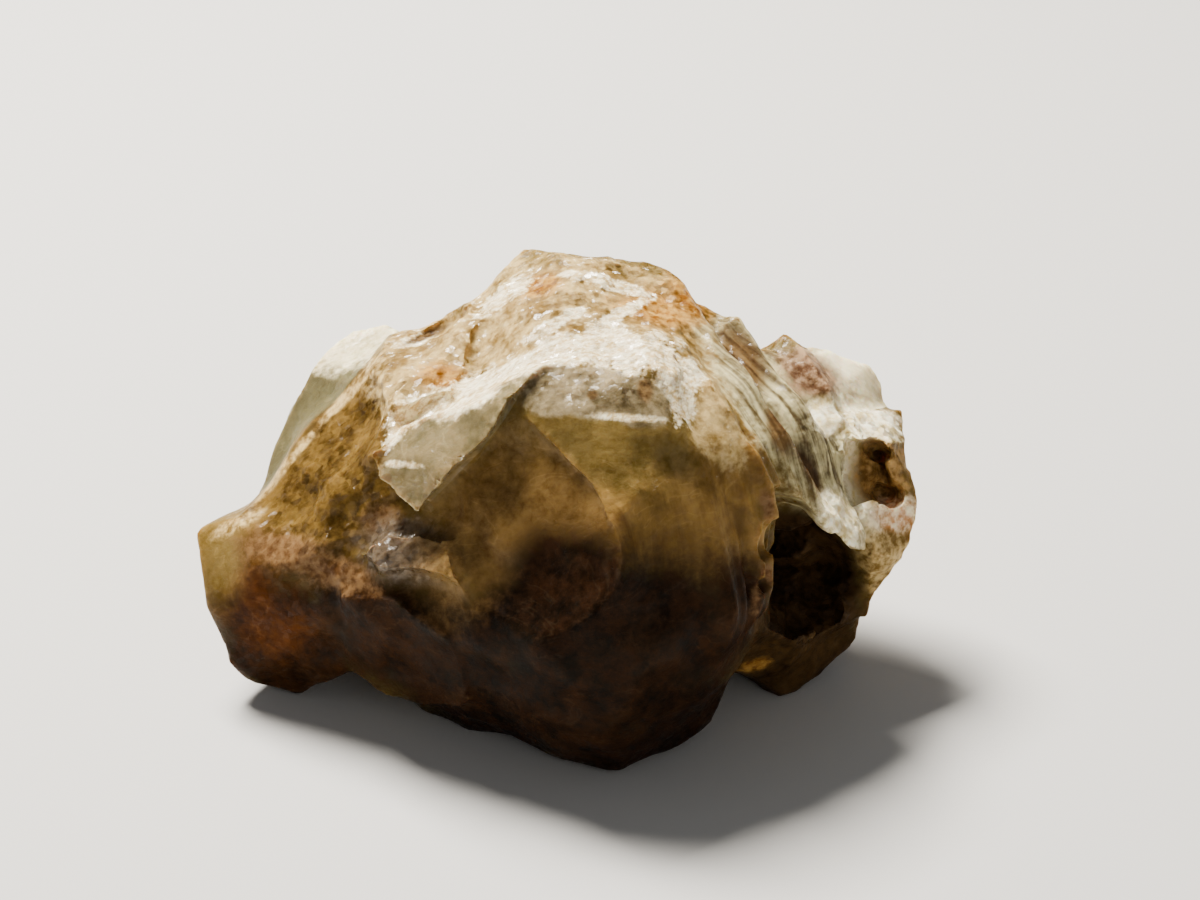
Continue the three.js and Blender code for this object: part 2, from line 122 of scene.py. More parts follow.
LOBES = {
    "heart": [
        seen(-2.6, 8.3, 0.8),  # summit
        seen(-5.4, 6.2, 1.0),
        seen(-1.6, 8.0, 2.6),
        seen(0.3, 7.8, 1.2),
        seen(3.0, 7.3, 1.4),
        seen(3.9, 6.8, 1.6),
        seen(4.9, 5.4, 2.0),
        seen(-3.2, 3.6, 6.6),  # bright shoulder
        seen(-0.8, 4.8, 6.3),
        seen(3.2, 3.9, 6.6),
        seen(4.4, 2.6, 6.8),
        seen(-3.0, 2.3, 7.9),  # top of the front
        seen(-1.2, 3.5, 7.9),
        seen(2.0, 2.6, 8.5),
        seen(2.8, 0.9, 9.1),
        seen(-2.4, 0.4, 9.0),  # ridge down the front
        seen(-0.2, -2.0, 9.9),
        seen(0.7, -4.6, 10.3),
        seen(6.2, 0.2, 6.8),  # right edge of the front
        seen(6.8, -1.4, 7.0),
        seen(6.6, -3.6, 7.0),
        seen(7.1, -4.9, 6.5),
        seen(6.9, -6.1, 6.0),
        seen(-8.4, 1.0, 4.8),  # belt
        seen(-8.4, -4.8, 5.2),
        seen(-6.6, -7.2, 6.4),
        seen(-3.4, -9.0, 7.6),
        seen(-1.6, -7.2, 9.2),
        seen(0.6, -10.8, 7.8),
        seen(2.6, -8.0, 8.8),
        seen(4.2, -9.4, 6.4),
        seen(6.1, -7.5, 4.8),
        seen(-8.2, -8.6, 3.4),  # under the belt
        seen(-5.6, -9.9, 4.0),
        seen(-2.4, -11.2, 5.6),
        seen(3.2, -11.2, 4.8),
        seen(5.5, -9.4, 1.4),
        seen(-1.0, -12.8, 3.4),  # foot
        seen(0.5, -13.1, 3.6),
        seen(1.9, -12.7, 3.2),
        seen(-2.8, -12.2, 2.0),
        seen(-7.2, -10.6, -0.4),
        seen(4.2, -11.7, 1.4),
        at(-6.0, 3.5, -0.5),
        at(5.5, 4.0, -0.5),
        at(0.0, 5.5, -0.5),
        at(-8.2, 5.8, 6.0),  # back
        at(-3.0, 8.2, 4.6),
        at(0.6, 8.0, 8.6),
        at(4.6, 7.6, 5.6),
        at(8.0, 5.4, 6.0),
        at(-5.5, 6.2, 11.6),
        at(-1.0, 6.6, 13.2),
        at(4.5, 5.8, 12.6),
    ],
    "flake": [
        seen(-9.3, -0.2, 6.0),
        seen(-8.2, 1.2, 5.8),
        seen(-7.2, 1.6, 6.4),
        seen(-3.1, 2.6, 8.5),
        seen(-3.2, 2.0, 8.8),
        seen(-4.0, 0.8, 8.9),
        seen(-5.8, -1.3, 8.7),
        seen(-6.8, -2.2, 8.2),
        seen(-7.6, -3.3, 7.6),
        seen(-8.5, -2.1, 6.6),
        seen(-5.0, 0.0, 3.0),
        seen(-2.2, 3.2, 7.4),
    ],
    "ledge": [
        seen(-9.8, -3.8, 5.0),
        seen(-8.4, -2.9, 5.8),
        seen(-7.4, -3.2, 6.4),
        seen(-8.8, -4.8, 6.2),
        seen(-7.2, -4.9, 7.2),
        seen(-5.4, -5.4, 7.8),
        seen(-5.0, -3.6, 7.6),
        seen(-7.0, -5.6, 2.0),
    ],
    "ochreEnd": [
        seen(-16.6, -3.1, 0.2),
        seen(-16.6, -4.6, 0.6),
        seen(-16.0, -6.9, 0.4),
        seen(-15.1, -8.6, -0.4),
        seen(-13.6, -9.8, -1.2),
        seen(-12.0, -10.0, -1.2),
        seen(-10.0, -8.9, 1.2),
        seen(-15.2, -2.5, -0.8),
        seen(-13.6, -1.8, -1.0),
        seen(-13.8, -4.6, 2.6),  # streak
        seen(-11.2, -3.9, 4.0),
        seen(-14.2, -6.2, 2.2),
        seen(-10.8, -7.0, 3.4),
        seen(-9.6, -2.0, 3.0),
        at(-12.5, 2.8, 4.4),
        at(-11.5, 1.0, 0.6),
        at(-5.0, 3.0, 2.0),
        at(-5.0, -2.0, 4.0),
    ],
    "brownShoulder": [
        seen(-13.8, -1.8, -0.2),
        seen(-12.2, 0.0, 0.9),
        seen(-10.8, 1.8, 1.8),
        seen(-9.2, 3.2, 2.3),
        seen(-7.8, 3.8, 3.0),
        seen(-8.2, 1.6, 4.8),
        seen(-9.2, -0.2, 4.9),
        seen(-8.4, -2.6, 5.4),
        seen(-9.2, -5.0, 5.2),
        seen(-8.0, -6.0, 5.6),
        seen(-8.6, -7.6, 4.4),
        seen(-8.8, -9.2, 1.8),
        seen(-10.6, -8.4, 1.6),
        seen(-13.4, -4.0, 2.2),
        at(-10.0, 2.0, 3.0),
        at(-8.0, 3.0, 9.0),
        at(-4.0, 0.0, 4.0),
    ],
    "belly": [
        seen(-10.4, -7.2, 3.1),
        seen(-9.8, -8.8, 1.7),
        seen(-8.6, -9.9, 1.2),
        seen(-7.0, -10.6, 1.6),
        seen(-5.4, -10.0, 4.2),
        seen(-6.2, -7.6, 6.5),
        seen(-8.2, -6.0, 5.8),
        seen(-10.0, -6.0, 4.1),
        seen(-8.0, -8.0, -3.0),
        seen(-4.0, -7.0, 0.0),
    ],
    "paleCrystal": [
        seen(-13.8, -1.9, -1.2),
        seen(-13.2, 0.4, -0.9),
        seen(-12.5, 2.3, -0.6),
        seen(-11.9, 3.2, -0.4),
        seen(-10.2, 2.7, 1.6),
        seen(-11.6, 0.0, 1.0),
        seen(-10.7, 4.7, -1.4),
        seen(-10.1, 5.1, -1.8),
        seen(-8.6, 5.2, -1.6),
        seen(-8.0, 4.9, -0.6),
        seen(-8.2, 3.6, 1.6),
        at(-11.5, 5.6, 7.0),
        at(-8.5, 7.0, 8.0),
        at(-11.8, 3.5, 2.8),
        at(-4.0, 5.0, 3.0),
        at(-4.0, 5.5, 11.0),
    ],
    "leftCore": [
        seen(-13.0, -2.2, -0.4),
        seen(-12.0, 0.6, 0.4),
        seen(-10.2, 2.5, 1.6),
        seen(-8.6, 4.2, 1.2),
        seen(-6.5, 4.8, 1.6),
        seen(-7.0, 2.6, 4.4),
        seen(-8.8, 0.4, 4.4),
        seen(-12.2, -5.0, 2.6),
        seen(-9.5, -6.5, 3.6),
        at(-11.2, 4.6, 6.2),
        at(-12.2, 3.2, 4.2),
        at(-11.0, 3.4, 2.2),
        at(-6.0, 5.5, 3.0),
        at(-6.0, 6.0, 9.0),
        at(-9.0, 0.5, 1.4),
    ],
    "tanLump": [
        seen(-9.0, 3.2, 2.6),
        seen(-8.2, 4.6, 0.8),
        seen(-5.8, 4.9, 3.4),
        seen(-5.0, 3.8, 5.0),
        seen(-6.0, 2.4, 5.8),
        seen(-8.2, 1.8, 4.9),
        seen(-6.8, 5.1, -0.2),
        seen(-5.4, 6.0, 1.4),
        seen(-5.0, 2.0, 2.0),
        at(-4.0, 6.0, 10.5),
        at(-7.0, 5.0, 8.0),
    ],
    "rightWing": [
        seen(4.9, 5.4, 2.0),
        seen(6.4, 4.8, 0.8),
        seen(4.6, 2.4, 6.4),
        seen(6.2, 0.2, 6.8),
        seen(6.9, -1.3, 6.6),
        seen(7.9, -1.8, 6.0),
        seen(9.3, -3.0, 4.8),
        seen(10.5, -4.2, 3.6),
        seen(11.0, -4.4, 2.8),
        seen(10.4, -2.0, 2.6),
        seen(9.8, 0.9, 2.0),
        seen(8.8, 2.8, 0.8),
        seen(7.4, 4.3, 0.3),
        at(8.0, 5.5, 8.0),
        at(3.0, 6.0, 9.0),
        at(3.0, 0.0, 7.5),
        at(9.5, 4.5, 6.6),
    ],
    "lowerRight": [
        seen(5.4, -6.6, 4.2),
        seen(5.6, -9.2, 1.2),
        seen(7.4, -9.8, -1.4),
        seen(8.9, -9.5, -1.6),
        seen(10.6, -8.2, -2.0),
        seen(10.6, -6.4, -0.8),
        seen(9.2, -6.6, 1.2),
        seen(7.8, -7.2, 2.0),
        at(9.0, 3.4, 0.4),
        at(11.5, 3.0, 4.5),
        at(3.0, 3.0, 1.0),
        at(3.0, 2.0, 6.0),
    ],
    "rightTip": [
        seen(9.4, 1.6, 1.5),
        seen(12.3, 1.7, -1.3),
        seen(12.8, 0.5, 0.3),
        seen(10.4, 0.4, 2.7),
        seen(11.6, 0.3, 1.5),
        seen(12.4, -2.2, 0.8),
        seen(12.9, -2.7, 0.6),
        seen(12.7, -3.8, 0.6),
        seen(11.7, -5.2, 0.2),
        seen(10.6, -6.4, -0.8),
        seen(11.0, -4.6, 1.8),
        seen(10.4, -1.8, 1.9),
        at(12.6, 3.0, 7.0),
        at(11.0, 4.8, 8.6),
        at(5.0, 3.0, 6.0),
        at(11.2, 3.6, 4.4),
        at(13.2, 3.4, 6.4),
    ],
    "rightBackCrystal": [
        seen(7.6, 4.4, -0.6),
        seen(9.8, 4.1, -1.6),
        seen(10.9, 3.6, -2.0),
        seen(11.5, 2.7, -2.0),
        seen(11.6, 1.7, -1.6),
        seen(10.2, 1.0, 0.9),
        seen(8.9, 2.4, 1.2),
        seen(7.2, 3.8, 1.2),
        at(11.2, 6.2, 8.6),
        at(8.0, 7.5, 9.4),
        at(4.0, 6.0, 6.0),
        at(4.0, 4.0, 9.0),
    ],
}

# Hollows, as ellipsoids: a centre, radii along RIGHT, UP and TO_EYE, and a turn about TO_EYE in degrees.
HOLLOWS = {
    "topCrease": Hollow(seen(-6.8, 5.3, 4.4), [1.8, 0.5, 2.6], 25),
    "underLeft": Hollow(seen(-10.4, -11.0, 1.2), [1.9, 1.7, 2.6], -20),
}

# Small bites out of the heart's right edge and the tip, which only this finer skin has.
BITES = [
    Hollow(seen(11.3, 0.0, 1.2), [0.35, 0.2, 1.0], -20),
    Hollow(seen(11.4, -1.5, 1.2), [0.4, 0.35, 1.0], -35),
    Hollow(seen(7.4, -3.6, 7.2), [1.0, 0.9, 3.0], 0),
    Hollow(seen(7.6, -5.6, 6.6), [0.9, 0.5, 2.6], -20),
    Hollow(seen(7.4, -7.2, 5.4), [1.0, 0.7, 2.6], 20),
]

# Pieces that have broken away, each the convex hull of its corners.
BREAKS = {
    "frontFace": [
        seen(-2.9, 0.3, 8.85),  # its sharp right edge
        seen(-1.6, -1.2, 9.3),
        seen(-0.6, -2.2, 9.65),
        seen(0.3, -3.1, 9.9),
        seen(0.75, -4.3, 10.05),
        seen(0.6, -5.6, 9.95),
        seen(-3.3, -1.0, 7.9),  # its floor
        seen(-1.3, -2.9, 8.85),
        seen(-0.2, -4.9, 9.4),
        seen(-3.4, 1.8, 8.0),
        seen(-4.2, 0.6, 7.7),
        seen(-5.2, -1.0, 7.1),
        seen(-6.4, -2.6, 6.9),
        seen(-5.4, -4.4, 7.1),
        seen(-1.0, -7.4, 9.4),  # where it runs out in the lower front
        seen(-3.0, -7.4, 8.4),
        seen(-5.0, -6.4, 7.6),
        seen(-2.4, 1.8, 13.0),  # its open side
        seen(-6.6, -2.4, 13.0),
        seen(-5.0, -6.0, 13.0),
        seen(1.2, -4.0, 13.0),
        seen(-0.6, -7.6, 13.0),
    ],
    "tipRecess": [
        seen(10.2, 0.1, 1.3),
        seen(11.4, 0.1, 0.3),
        seen(11.4, -1.5, 0.4),
        seen(10.4, -1.9, 1.8),
        seen(10.0, 0.2, 6.0),
        seen(12.0, 0.2, 5.0),
        seen(12.1, -1.4, 5.0),
        seen(10.2, -2.3, 6.0),
    ],
    "darkHollow": [
        seen(7.1, -1.9, 9.0),  # its open side
        seen(8.1, -2.1, 9.0),
        seen(9.4, -3.3, 9.0),
        seen(10.5, -4.8, 9.0),
        seen(9.8, -6.4, 9.0),
        seen(7.6, -7.6, 9.0),
        seen(6.9, -6.5, 9.0),
        seen(7.0, -2.0, 2.6),  # under the wing
        seen(8.4, -2.2, 2.0),
        seen(9.6, -3.6, 1.4),
        seen(10.3, -5.0, 0.4),
        seen(9.4, -6.6, -0.2),  # its floor
        seen(7.8, -7.6, 0.6),
        seen(6.6, -7.2, 1.6),
        seen(7.0, -4.6, -1.0),
        seen(8.6, -4.6, -1.4),
    ],
    "backFace": [
        at(-6.5, 8.6, 9.0),
        at(-2.0, 8.0, 4.0),
        at(-5.0, 5.9, 6.0),
        at(-7.4, 5.4, 3.0),
        at(-8.6, 5.2, 7.5),
        at(-8.0, 12.0, 4.0),
        at(-4.0, 12.0, 8.0),
    ],
}

# The summit's grain runs up it and to the right, and the wing's striations run down it and to the right.
SUMMIT_GRAIN = direction(0.8, 0.5, 0.2)
RIB_ALONG = direction(0.51, -0.85, 0.14)
WING_FACING = np.cross(direction(0.6, 0.12, -0.8), RIB_ALONG)
RIB_ACROSS = np.cross(WING_FACING, RIB_ALONG) / np.linalg.norm(np.cross(WING_FACING, RIB_ALONG))


def solid_skin():
    """The CAD solid as a tree to cast rays at, in the laid-out axes, mm."""
    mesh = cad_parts[NODE].data
    places = np.empty(len(mesh.vertices) * 3, np.float32)
    mesh.vertices.foreach_get("co", places)
    places = places.reshape(-1, 3) / MM - CENTRING
    faces = [tuple(polygon.vertices) for polygon in mesh.polygons]
    return BVHTree.FromPolygons([Vector(place) for place in places], faces)


def first_seen(u, v):
    """The point of the solid that the eye sees at (u, v)."""
    eye = AIM + TO_EYE * EYE_DISTANCE
    way = AIM + RIGHT * u + UP * v - eye
    point, _, _, _ = SOLID.ray_cast(Vector(eye), Vector(way).normalized())
    if point is None:
        raise ValueError(f"no part of the crystal is seen at {u}, {v}")
    return np.array(point)


def turned(turn):
    """RIGHT and UP, turned anticlockwise by an angle in degrees as the eye sees them."""
    angle = math.radians(turn)
    across = RIGHT * math.cos(angle) + UP * math.sin(angle)
    along = UP * math.cos(angle) - RIGHT * math.sin(angle)
    return across, along


def spread(points, centre, radii, turn):
    """How far points lie from centre, where 1 is the surface of an ellipsoid of the given radii."""
    across, along = turned(turn)
    offset = points - centre
    parts = [offset @ way / radius for way, radius in zip((across, along, TO_EYE), radii)]
    return np.sqrt(sum(part * part for part in parts))


def patch_reach(points, patches):
    """1 in the middle of the nearest patch, 0 on its border and -1 well outside."""
    reach = np.full(len(points), -1.0)
    for region in patches:
        reach = np.maximum(reach, 1 - spread(points, region.centre, region.radii, region.turn))
    return reach


def soft_max(a, b, softness):
    """The greater of two values, rounded over where they are within softness of each other."""
    share = np.maximum(softness - np.abs(a - b), 0) / softness
    return np.maximum(a, b) + share * share * softness / 4


def soft_min(a, b, softness):
    return -soft_max(-a, -b, softness)


def hull_planes(corners):
    """The planes of the corners' convex hull, as outward normals and the levels that they pass through."""
    hull = bmesh.new()
    for corner in corners:
        hull.verts.new(corner)
    bmesh.ops.convex_hull(hull, input=hull.verts)
    middle = np.mean(corners, axis=0)
    normals = []
    levels = []
    for face in hull.faces:
        face.normal_update()
        normal = np.array(face.normal)
        level = normal @ np.array(face.verts[0].co)
        side = 1 if normal @ middle < level else -1
        normals.append(normal * side)
        levels.append(level * side)
    hull.free()
    return np.array(normals), np.array(levels)


def hull_field(points, planes, softness=0.0):
    """Below 0 inside a hull, above 0 outside. Its edges are rounded over by softness, mm."""
    normals, levels = planes
    heights = points @ normals.T - levels
    highest = heights.max(axis=1)
    if softness == 0:
        return highest
    rounded = np.log(np.exp((heights - highest[:, None]) / softness).sum(axis=1) / ROUNDED_PLANES)
    return highest + softness * rounded


def hollow_field(points, hollow):
    return (spread(points, hollow.centre, hollow.radii, hollow.turn) - 1) * min(hollow.radii)


def waves(points, seed):
    """Waves in directions that a seed sets, the first 7 mm long and each shorter and lower than the last."""
    height = np.zeros(len(points))
    for i in range(8):
        turn = (i + seed) * 2.4
        rise = math.cos((i + seed) * 1.7)
        flat = math.sqrt(1 - rise * rise)
        along = points @ np.array([flat * math.cos(turn), flat * math.sin(turn), rise])
        height += np.sin(along * (0.9 + 0.3 * i) + (i + seed) * 1.3) / (1 + 0.35 * i)
    return height


def jitter(n):
    """From -0.5 to 0.5, unlike for any two numbers."""
    value = np.sin(n) * 43758.5453
    return value - np.floor(value) - 0.5


def scar_seeds(low, high, spacing):
    """The scars' scattered seeds, one in each cell of a lattice that spans the box, and its first cell."""
    first = np.floor(np.array(low) / spacing).astype(int) - 2
    last = np.floor(np.array(high) / spacing).astype(int) + 2
    a, b, c = np.meshgrid(*[np.arange(f, l + 1) for f, l in zip(first, last)], indexing="ij")
    n = a * 127.1 + b * 311.7 + c * 74.7
    seeds = [cell + 0.5 + UNEVENNESS * jitter(n + phase) for cell, phase in ((a, 0), (b, 11.3), (c, 23.9))]
    return np.stack(seeds, axis=-1), first


def scars(points, spacing, seeds, first):
    """Shell-shaped scars, 1 at their scattered seeds and near 0 on the sharp ridges between them."""
    places = points / spacing
    corner = np.floor(places).astype(int) - first
    shape = seeds.shape[:3]
    flat_seeds = seeds.reshape(-1, 3)
    least = np.full(len(points), np.inf)
    for step in np.ndindex(3, 3, 3):
        near = corner + np.array(step) - 1
        index = (near[:, 0] * shape[1] + near[:, 1]) * shape[2] + near[:, 2]
        offset = flat_seeds[index] - places
        least = np.minimum(least, np.einsum("ij,ij->i", offset, offset))
    return 1 - least


def drawn_out(points):
    """Points moved together along the summit's grain, which draws a pattern out along it."""
    along = points @ SUMMIT_GRAIN
    return points - along[:, None] * SUMMIT_GRAIN * (1 - 1 / GRAIN_STRETCH)


def ribs(points, spacing, sway):
    """Grooves of uneven depth between ribs."""
    across = points @ RIB_ACROSS / spacing + sway * np.sin(0.5 * points @ RIB_ALONG)
    groove = 0.5 - 0.5 * np.cos(2 * math.pi * across)
    return groove * (1 + UNEVENNESS * jitter(np.floor(across) * 3.7))


def on_wing(points):
    """1 on the striated wing: right of the heart, above the dark hollow and left of the tip."""
    x = points[:, 0]
    z = points[:, 2]
    return ramp(x, 4.5, 6) * ramp(z, 5.5, 7.5) * (1 - ramp(x, 10, 11.5))


class Shape:
    """The crystal as a field, below zero inside and above zero outside."""

    low = np.array([-17.0, -13.0, -1.0])
    high = np.array([17.0, 12.0, 21.0])

    def __init__(self, small_chip_depth, fine_rib_depth):
        self.small_chip_depth = small_chip_depth
        self.fine_rib_depth = fine_rib_depth
        self.lobes = {name: hull_planes(corners) for name, corners in LOBES.items()}
        self.breaks = {name: hull_planes(corners) for name, corners in BREAKS.items()}
        self.chips = scar_seeds(self.low, self.high, CHIP_SPACING)
        self.small_chips = scar_seeds(self.low, self.high, SMALL_CHIP_SPACING)

    def warped(self, points):
        return points + WARP_HEIGHT * np.stack([waves(points, seed) for seed in (0, 11, 23)], axis=1)

    def roughness(self, points):
        """How thickly small chips cover the skin, from 0 to 1."""
        rough = patch_reach(points, ROUGH)
        smooth = patch_reach(points, SMOOTH)
        covered = np.clip(0.5 + 0.9 * ramp(rough, -0.2, 0.4) - 0.9 * ramp(smooth, -0.2, 0.3), 0.05, 1)
        return covered * (1 - 0.7 * on_wing(points))

    def relief(self, points):
        wing = on_wing(points)
        smooth = ramp(patch_reach(points, SMOOTH), -0.3, 0.4)
        scarred = scars(points, CHIP_SPACING, *self.chips)
        scarred = CHIP_LEVEL + (scarred - CHIP_LEVEL) * (1 - 0.5 * smooth)
        chips = CHIP_DEPTH * scarred * (1 - 0.7 * wing)
        main_ribs = RIB_DEPTH * ribs(points, RIB_SPACING, RIB_SWAY) * wing
        small = scars(drawn_out(points), SMALL_CHIP_SPACING, *self.small_chips) - CHIP_LEVEL
        small_chips = self.small_chip_depth * small * self.roughness(points)
        fine_wing = wing * ramp(points[:, 0], 6.2, 7.4)
        fine_ribs = self.fine_rib_depth * (ribs(points, FINE_RIB_SPACING, 0.6) - 0.5) * fine_wing
        return chips + main_ribs + small_chips + fine_ribs - RELIEF_LIFT

    def value(self, points):
        warped = self.warped(points)
        joined = np.full(len(points), 1e3)
        for name, planes in self.lobes.items():
            joined = soft_min(joined, hull_field(warped, planes, WORN.get(name, 0.0)), JOIN_SOFTNESS)
        for planes in self.breaks.values():
            joined = np.maximum(joined, -hull_field(warped, planes))
        for hollow in [*HOLLOWS.values(), *BITES]:
            joined = np.maximum(joined, -hollow_field(warped, hollow))
        return np.maximum(joined + self.relief(points), -points[:, 2])

    def form_reach(self, points, name):
        """Above 0 on the skin of one lobe or break, and below 0 off it, up to 1 from full mm inside."""
        full = 0.4
        warped = self.warped(points)
        lobes = {lobe: hull_field(warped, planes) for lobe, planes in self.lobes.items()}
        if name in lobes:
            own = lobes.pop(name)
            return np.clip((np.minimum.reduce(list(lobes.values())) - own) / full, -1, 1)
        own = -hull_field(warped, self.breaks[name])
        return np.clip((own - np.minimum.reduce(list(lobes.values()))) / full, -1, 1)


def in_batches(function, points, batch=150_000):
    """A function's values at many points, a batch at a time to save memory."""
    return np.concatenate([function(points[i : i + batch]) for i in range(0, len(points), batch)])


class Skin:
    """Skins the surface where a field crosses zero. Each grid cell that the surface passes through gets one
    vertex, set where the planes that it meets there cross, so that sharp edges stay sharp."""

    block = 4  # cells along each side of the blocks that are tested first
    steepest = 1.6  # of the field, which tells how far from the surface a block can be passed over

    def __init__(self, value, low, high, cell):
        self.value = value
        self.cell = cell
        self.low = low
        self.blocks = np.ceil((high - low) / (cell * self.block)).astype(int)
        self.counts = self.blocks * self.block + 1
        self.strides = np.array([self.counts[1] * self.counts[2], self.counts[2], 1])
        self.samples = self.sampled()
        self.fill_twisted_faces()

    def place(self, index):
        """Where the grid's points are, from their numbers."""
        steps = np.stack(np.unravel_index(index, self.counts), axis=1)
        return self.low + steps * self.cell

    def sampled(self):
        """The field on the grid: exact near the surface, and elsewhere only its sign counts."""
        side = self.cell * self.block
        centres = np.stack(np.meshgrid(*[np.arange(n) for n in self.blocks], indexing="ij"), axis=-1)
        centres = self.low + (centres.reshape(-1, 3) + 0.5) * side
        coarse = in_batches(self.value, centres).reshape(self.blocks)
        close = np.abs(coarse) < side * math.sqrt(3) / 2 * self.steepest
        wanted = np.zeros(self.counts, bool)
        samples = np.empty(self.counts)
        for corner in np.ndindex(2, 2, 2):
            window = tuple(slice(c, c + n * self.block) for c, n in zip(corner, self.blocks))
            wide_close = close
            wide_coarse = coarse
            for axis in range(3):
                wide_close = wide_close.repeat(self.block, axis)
                wide_coarse = wide_coarse.repeat(self.block, axis)
            wanted[window] |= wide_close
            samples[window] = wide_coarse
        index = np.flatnonzero(wanted)
        samples.reshape(-1)[index] = in_batches(self.value, self.place(index))
        return samples

    def fill_twisted_faces(self):
        """Fills faces whose corners alternate inside and outside, which would tie four sheets to one edge."""
        just_inside = -1e-3
        changed = True
        while changed:
            changed = False
            for axis in range(3):
                inside = np.moveaxis(self.samples < 0, axis, 0)
                view = np.moveaxis(self.samples, axis, 0)
                first = inside[:, :-1, :-1]
                second = inside[:, 1:, :-1]
                third = inside[:, 1:, 1:]
                fourth = inside[:, :-1, 1:]
                twisted = (first == third) & (second == fourth) & (first != second)
                changed = changed or bool(twisted.any())
                view[:, :-1, :-1][twisted & ~first] = just_inside
                view[:, 1:, :-1][twisted & first] = just_inside

    def crossings(self, starts, axis):
        """Where the surface crosses the grid's edges, by false position, and its normals there."""
        samples = self.samples.reshape(-1)
        a = self.place(starts)
        b = a.copy()
        b[:, axis] += self.cell
        value_a = samples[starts]
        value_b = samples[starts + self.strides[axis]]
        for _ in range(4):
            share = np.clip(value_a / (value_a - value_b), 0.05, 0.95)
            middle = a + (b - a) * share[:, None]
            value = in_batches(self.value, middle)
            with_a = (value < 0) == (value_a < 0)
            a = np.where(with_a[:, None], middle, a)
            b = np.where(with_a[:, None], b, middle)
            value_a = np.where(with_a, value, value_a)
            value_b = np.where(with_a, value_b, value)
        reach = 0.3 * self.cell
        slope = np.zeros_like(middle)
        for way in ((1, -1, -1), (-1, 1, -1), (-1, -1, 1), (1, 1, 1)):
            step = np.array(way, float)
            slope += step * in_batches(self.value, middle + step * reach)[:, None]
        return middle, slope / np.linalg.norm(slope, axis=1, keepdims=True)

    def mesh(self):
        """The skin's vertices and its triangles, which face outwards."""
        inside = self.samples < 0
        rings = []
        points = []
        normals = []
        for axis in range(3):
            turned_axes = (axis + 1) % 3, (axis + 2) % 3
            here = np.moveaxis(inside, axis, 0)
            differs = np.zeros(self.counts, bool)
            np.moveaxis(differs, axis, 0)[:-1] = here[:-1] != here[1:]
            starts = np.flatnonzero(differs)
            point, normal = self.crossings(starts, axis)
            s, t = (self.strides[other] for other in turned_axes)
            ring = np.stack([starts, starts - s, starts - s - t, starts - t], axis=1)
            flip = ~inside.reshape(-1)[starts]
            ring[flip] = ring[flip][:, ::-1]
            rings.append(ring)
            points.append(point)
            normals.append(normal)
        ring = np.concatenate(rings)
        point = np.concatenate(points)
        normal = np.concatenate(normals)
        cells, corner = np.unique(ring, return_inverse=True)
        corner = corner.reshape(-1, 4)
        vertices = self.vertices(cells, corner, point, normal)
        a, b, c, d = corner.T
        middles = [(vertices[one] + vertices[other]) / 2 for one, other in ((a, c), (b, d))]
        first, second = (np.abs(in_batches(self.value, middle)) for middle in middles)
        split = (first < second)[:, None, None]
        one_way = np.stack([np.stack([a, b, c], 1), np.stack([a, c, d], 1)], 1)
        other_way = np.stack([np.stack([b, c, d], 1), np.stack([b, d, a], 1)], 1)
        return vertices, np.where(split, one_way, other_way).reshape(-1, 3)

    def vertices(self, cells, corner, point, normal):
        """One vertex in each cell: the point nearest to all its planes, held a little to their middle."""
        hold = 0.16
        margin = 0.05
        count = len(cells)
        flat = corner.reshape(-1)

        def gathered(values):
            return np.bincount(flat, np.repeat(values, 4), count)

        hits = np.bincount(flat, minlength=count)
        middle = np.stack([gathered(point[:, axis]) / hits for axis in range(3)], axis=1)
        level = np.einsum("ij,ij->i", normal, point)
        matrix = np.empty((count, 3, 3))
        pull = np.empty((count, 3))
        for r in range(3):
            for c in range(3):
                matrix[:, r, c] = gathered(normal[:, r] * normal[:, c])
            pull[:, r] = gathered(normal[:, r] * level)
        pull -= np.einsum("irc,ic->ir", matrix, middle)
        matrix += hold * np.eye(3)
        vertices = middle + np.linalg.solve(matrix, pull[:, :, None])[:, :, 0]
        lowest = self.place(cells)
        return np.clip(vertices, lowest + margin * self.cell, lowest + (1 - margin) * self.cell)


# The solid, to place patches on, in the laid-out axes.
SOLID = solid_skin()


def patch(u, v, across, along, turn=0, depth=3.5):
    """The skin round the point that the eye sees at (u, v), as an ellipsoid, mm. Its radii across and along
    are turned anticlockwise by an angle in degrees, and depth is its radius towards the eye and away."""
    return Hollow(first_seen(u, v), [across, along, depth], turn)


def hidden_patch(x, y, z, radius):
    """The skin round a point on a hidden side."""
    return Hollow(at(x, y, z), [radius, radius, radius], 0)


# Where small chips cover the skin, and where it broke or grew smooth.
ROUGH = [
    patch(0.0, 5.6, 7.5, 3.4, 0, 6),
    patch(-7.0, 3.0, 3.0, 2.4, 20, 5),
    patch(-10.4, -1.0, 3.4, 3.0, 30, 5),
    patch(9.5, 0.5, 3.4, 4.0, 0, 5),
    patch(-8.6, -3.8, 1.6, 1.4, 0, 3),
    patch(8.2, -4.8, 2.4, 3.0, 28, 6),
    hidden_patch(-1.0, 6.0, 10.0, 6.0),
    hidden_patch(11.0, 4.0, 5.0, 4.0),
]
SMOOTH = [
    patch(-5.6, 0.4, 3.0, 2.6, 35, 3),
    patch(-3.0, -1.6, 3.2, 3.4, 0, 4),
    patch(2.6, -2.0, 3.4, 3.6, 0, 4),
    patch(0.0, -8.4, 7.5, 5.0, 0, 7),
    patch(-7.0, -7.6, 4.0, 3.0, 0, 6),
    patch(-10.7, 3.4, 2.6, 3.0, 0, 4),
    patch(-12.6, 0.4, 2.0, 3.0, 0, 4),
    patch(-15.2, -5.2, 1.6, 2.6, 0, 4),
    patch(10.4, 3.0, 2.4, 2.4, 0, 4),
]

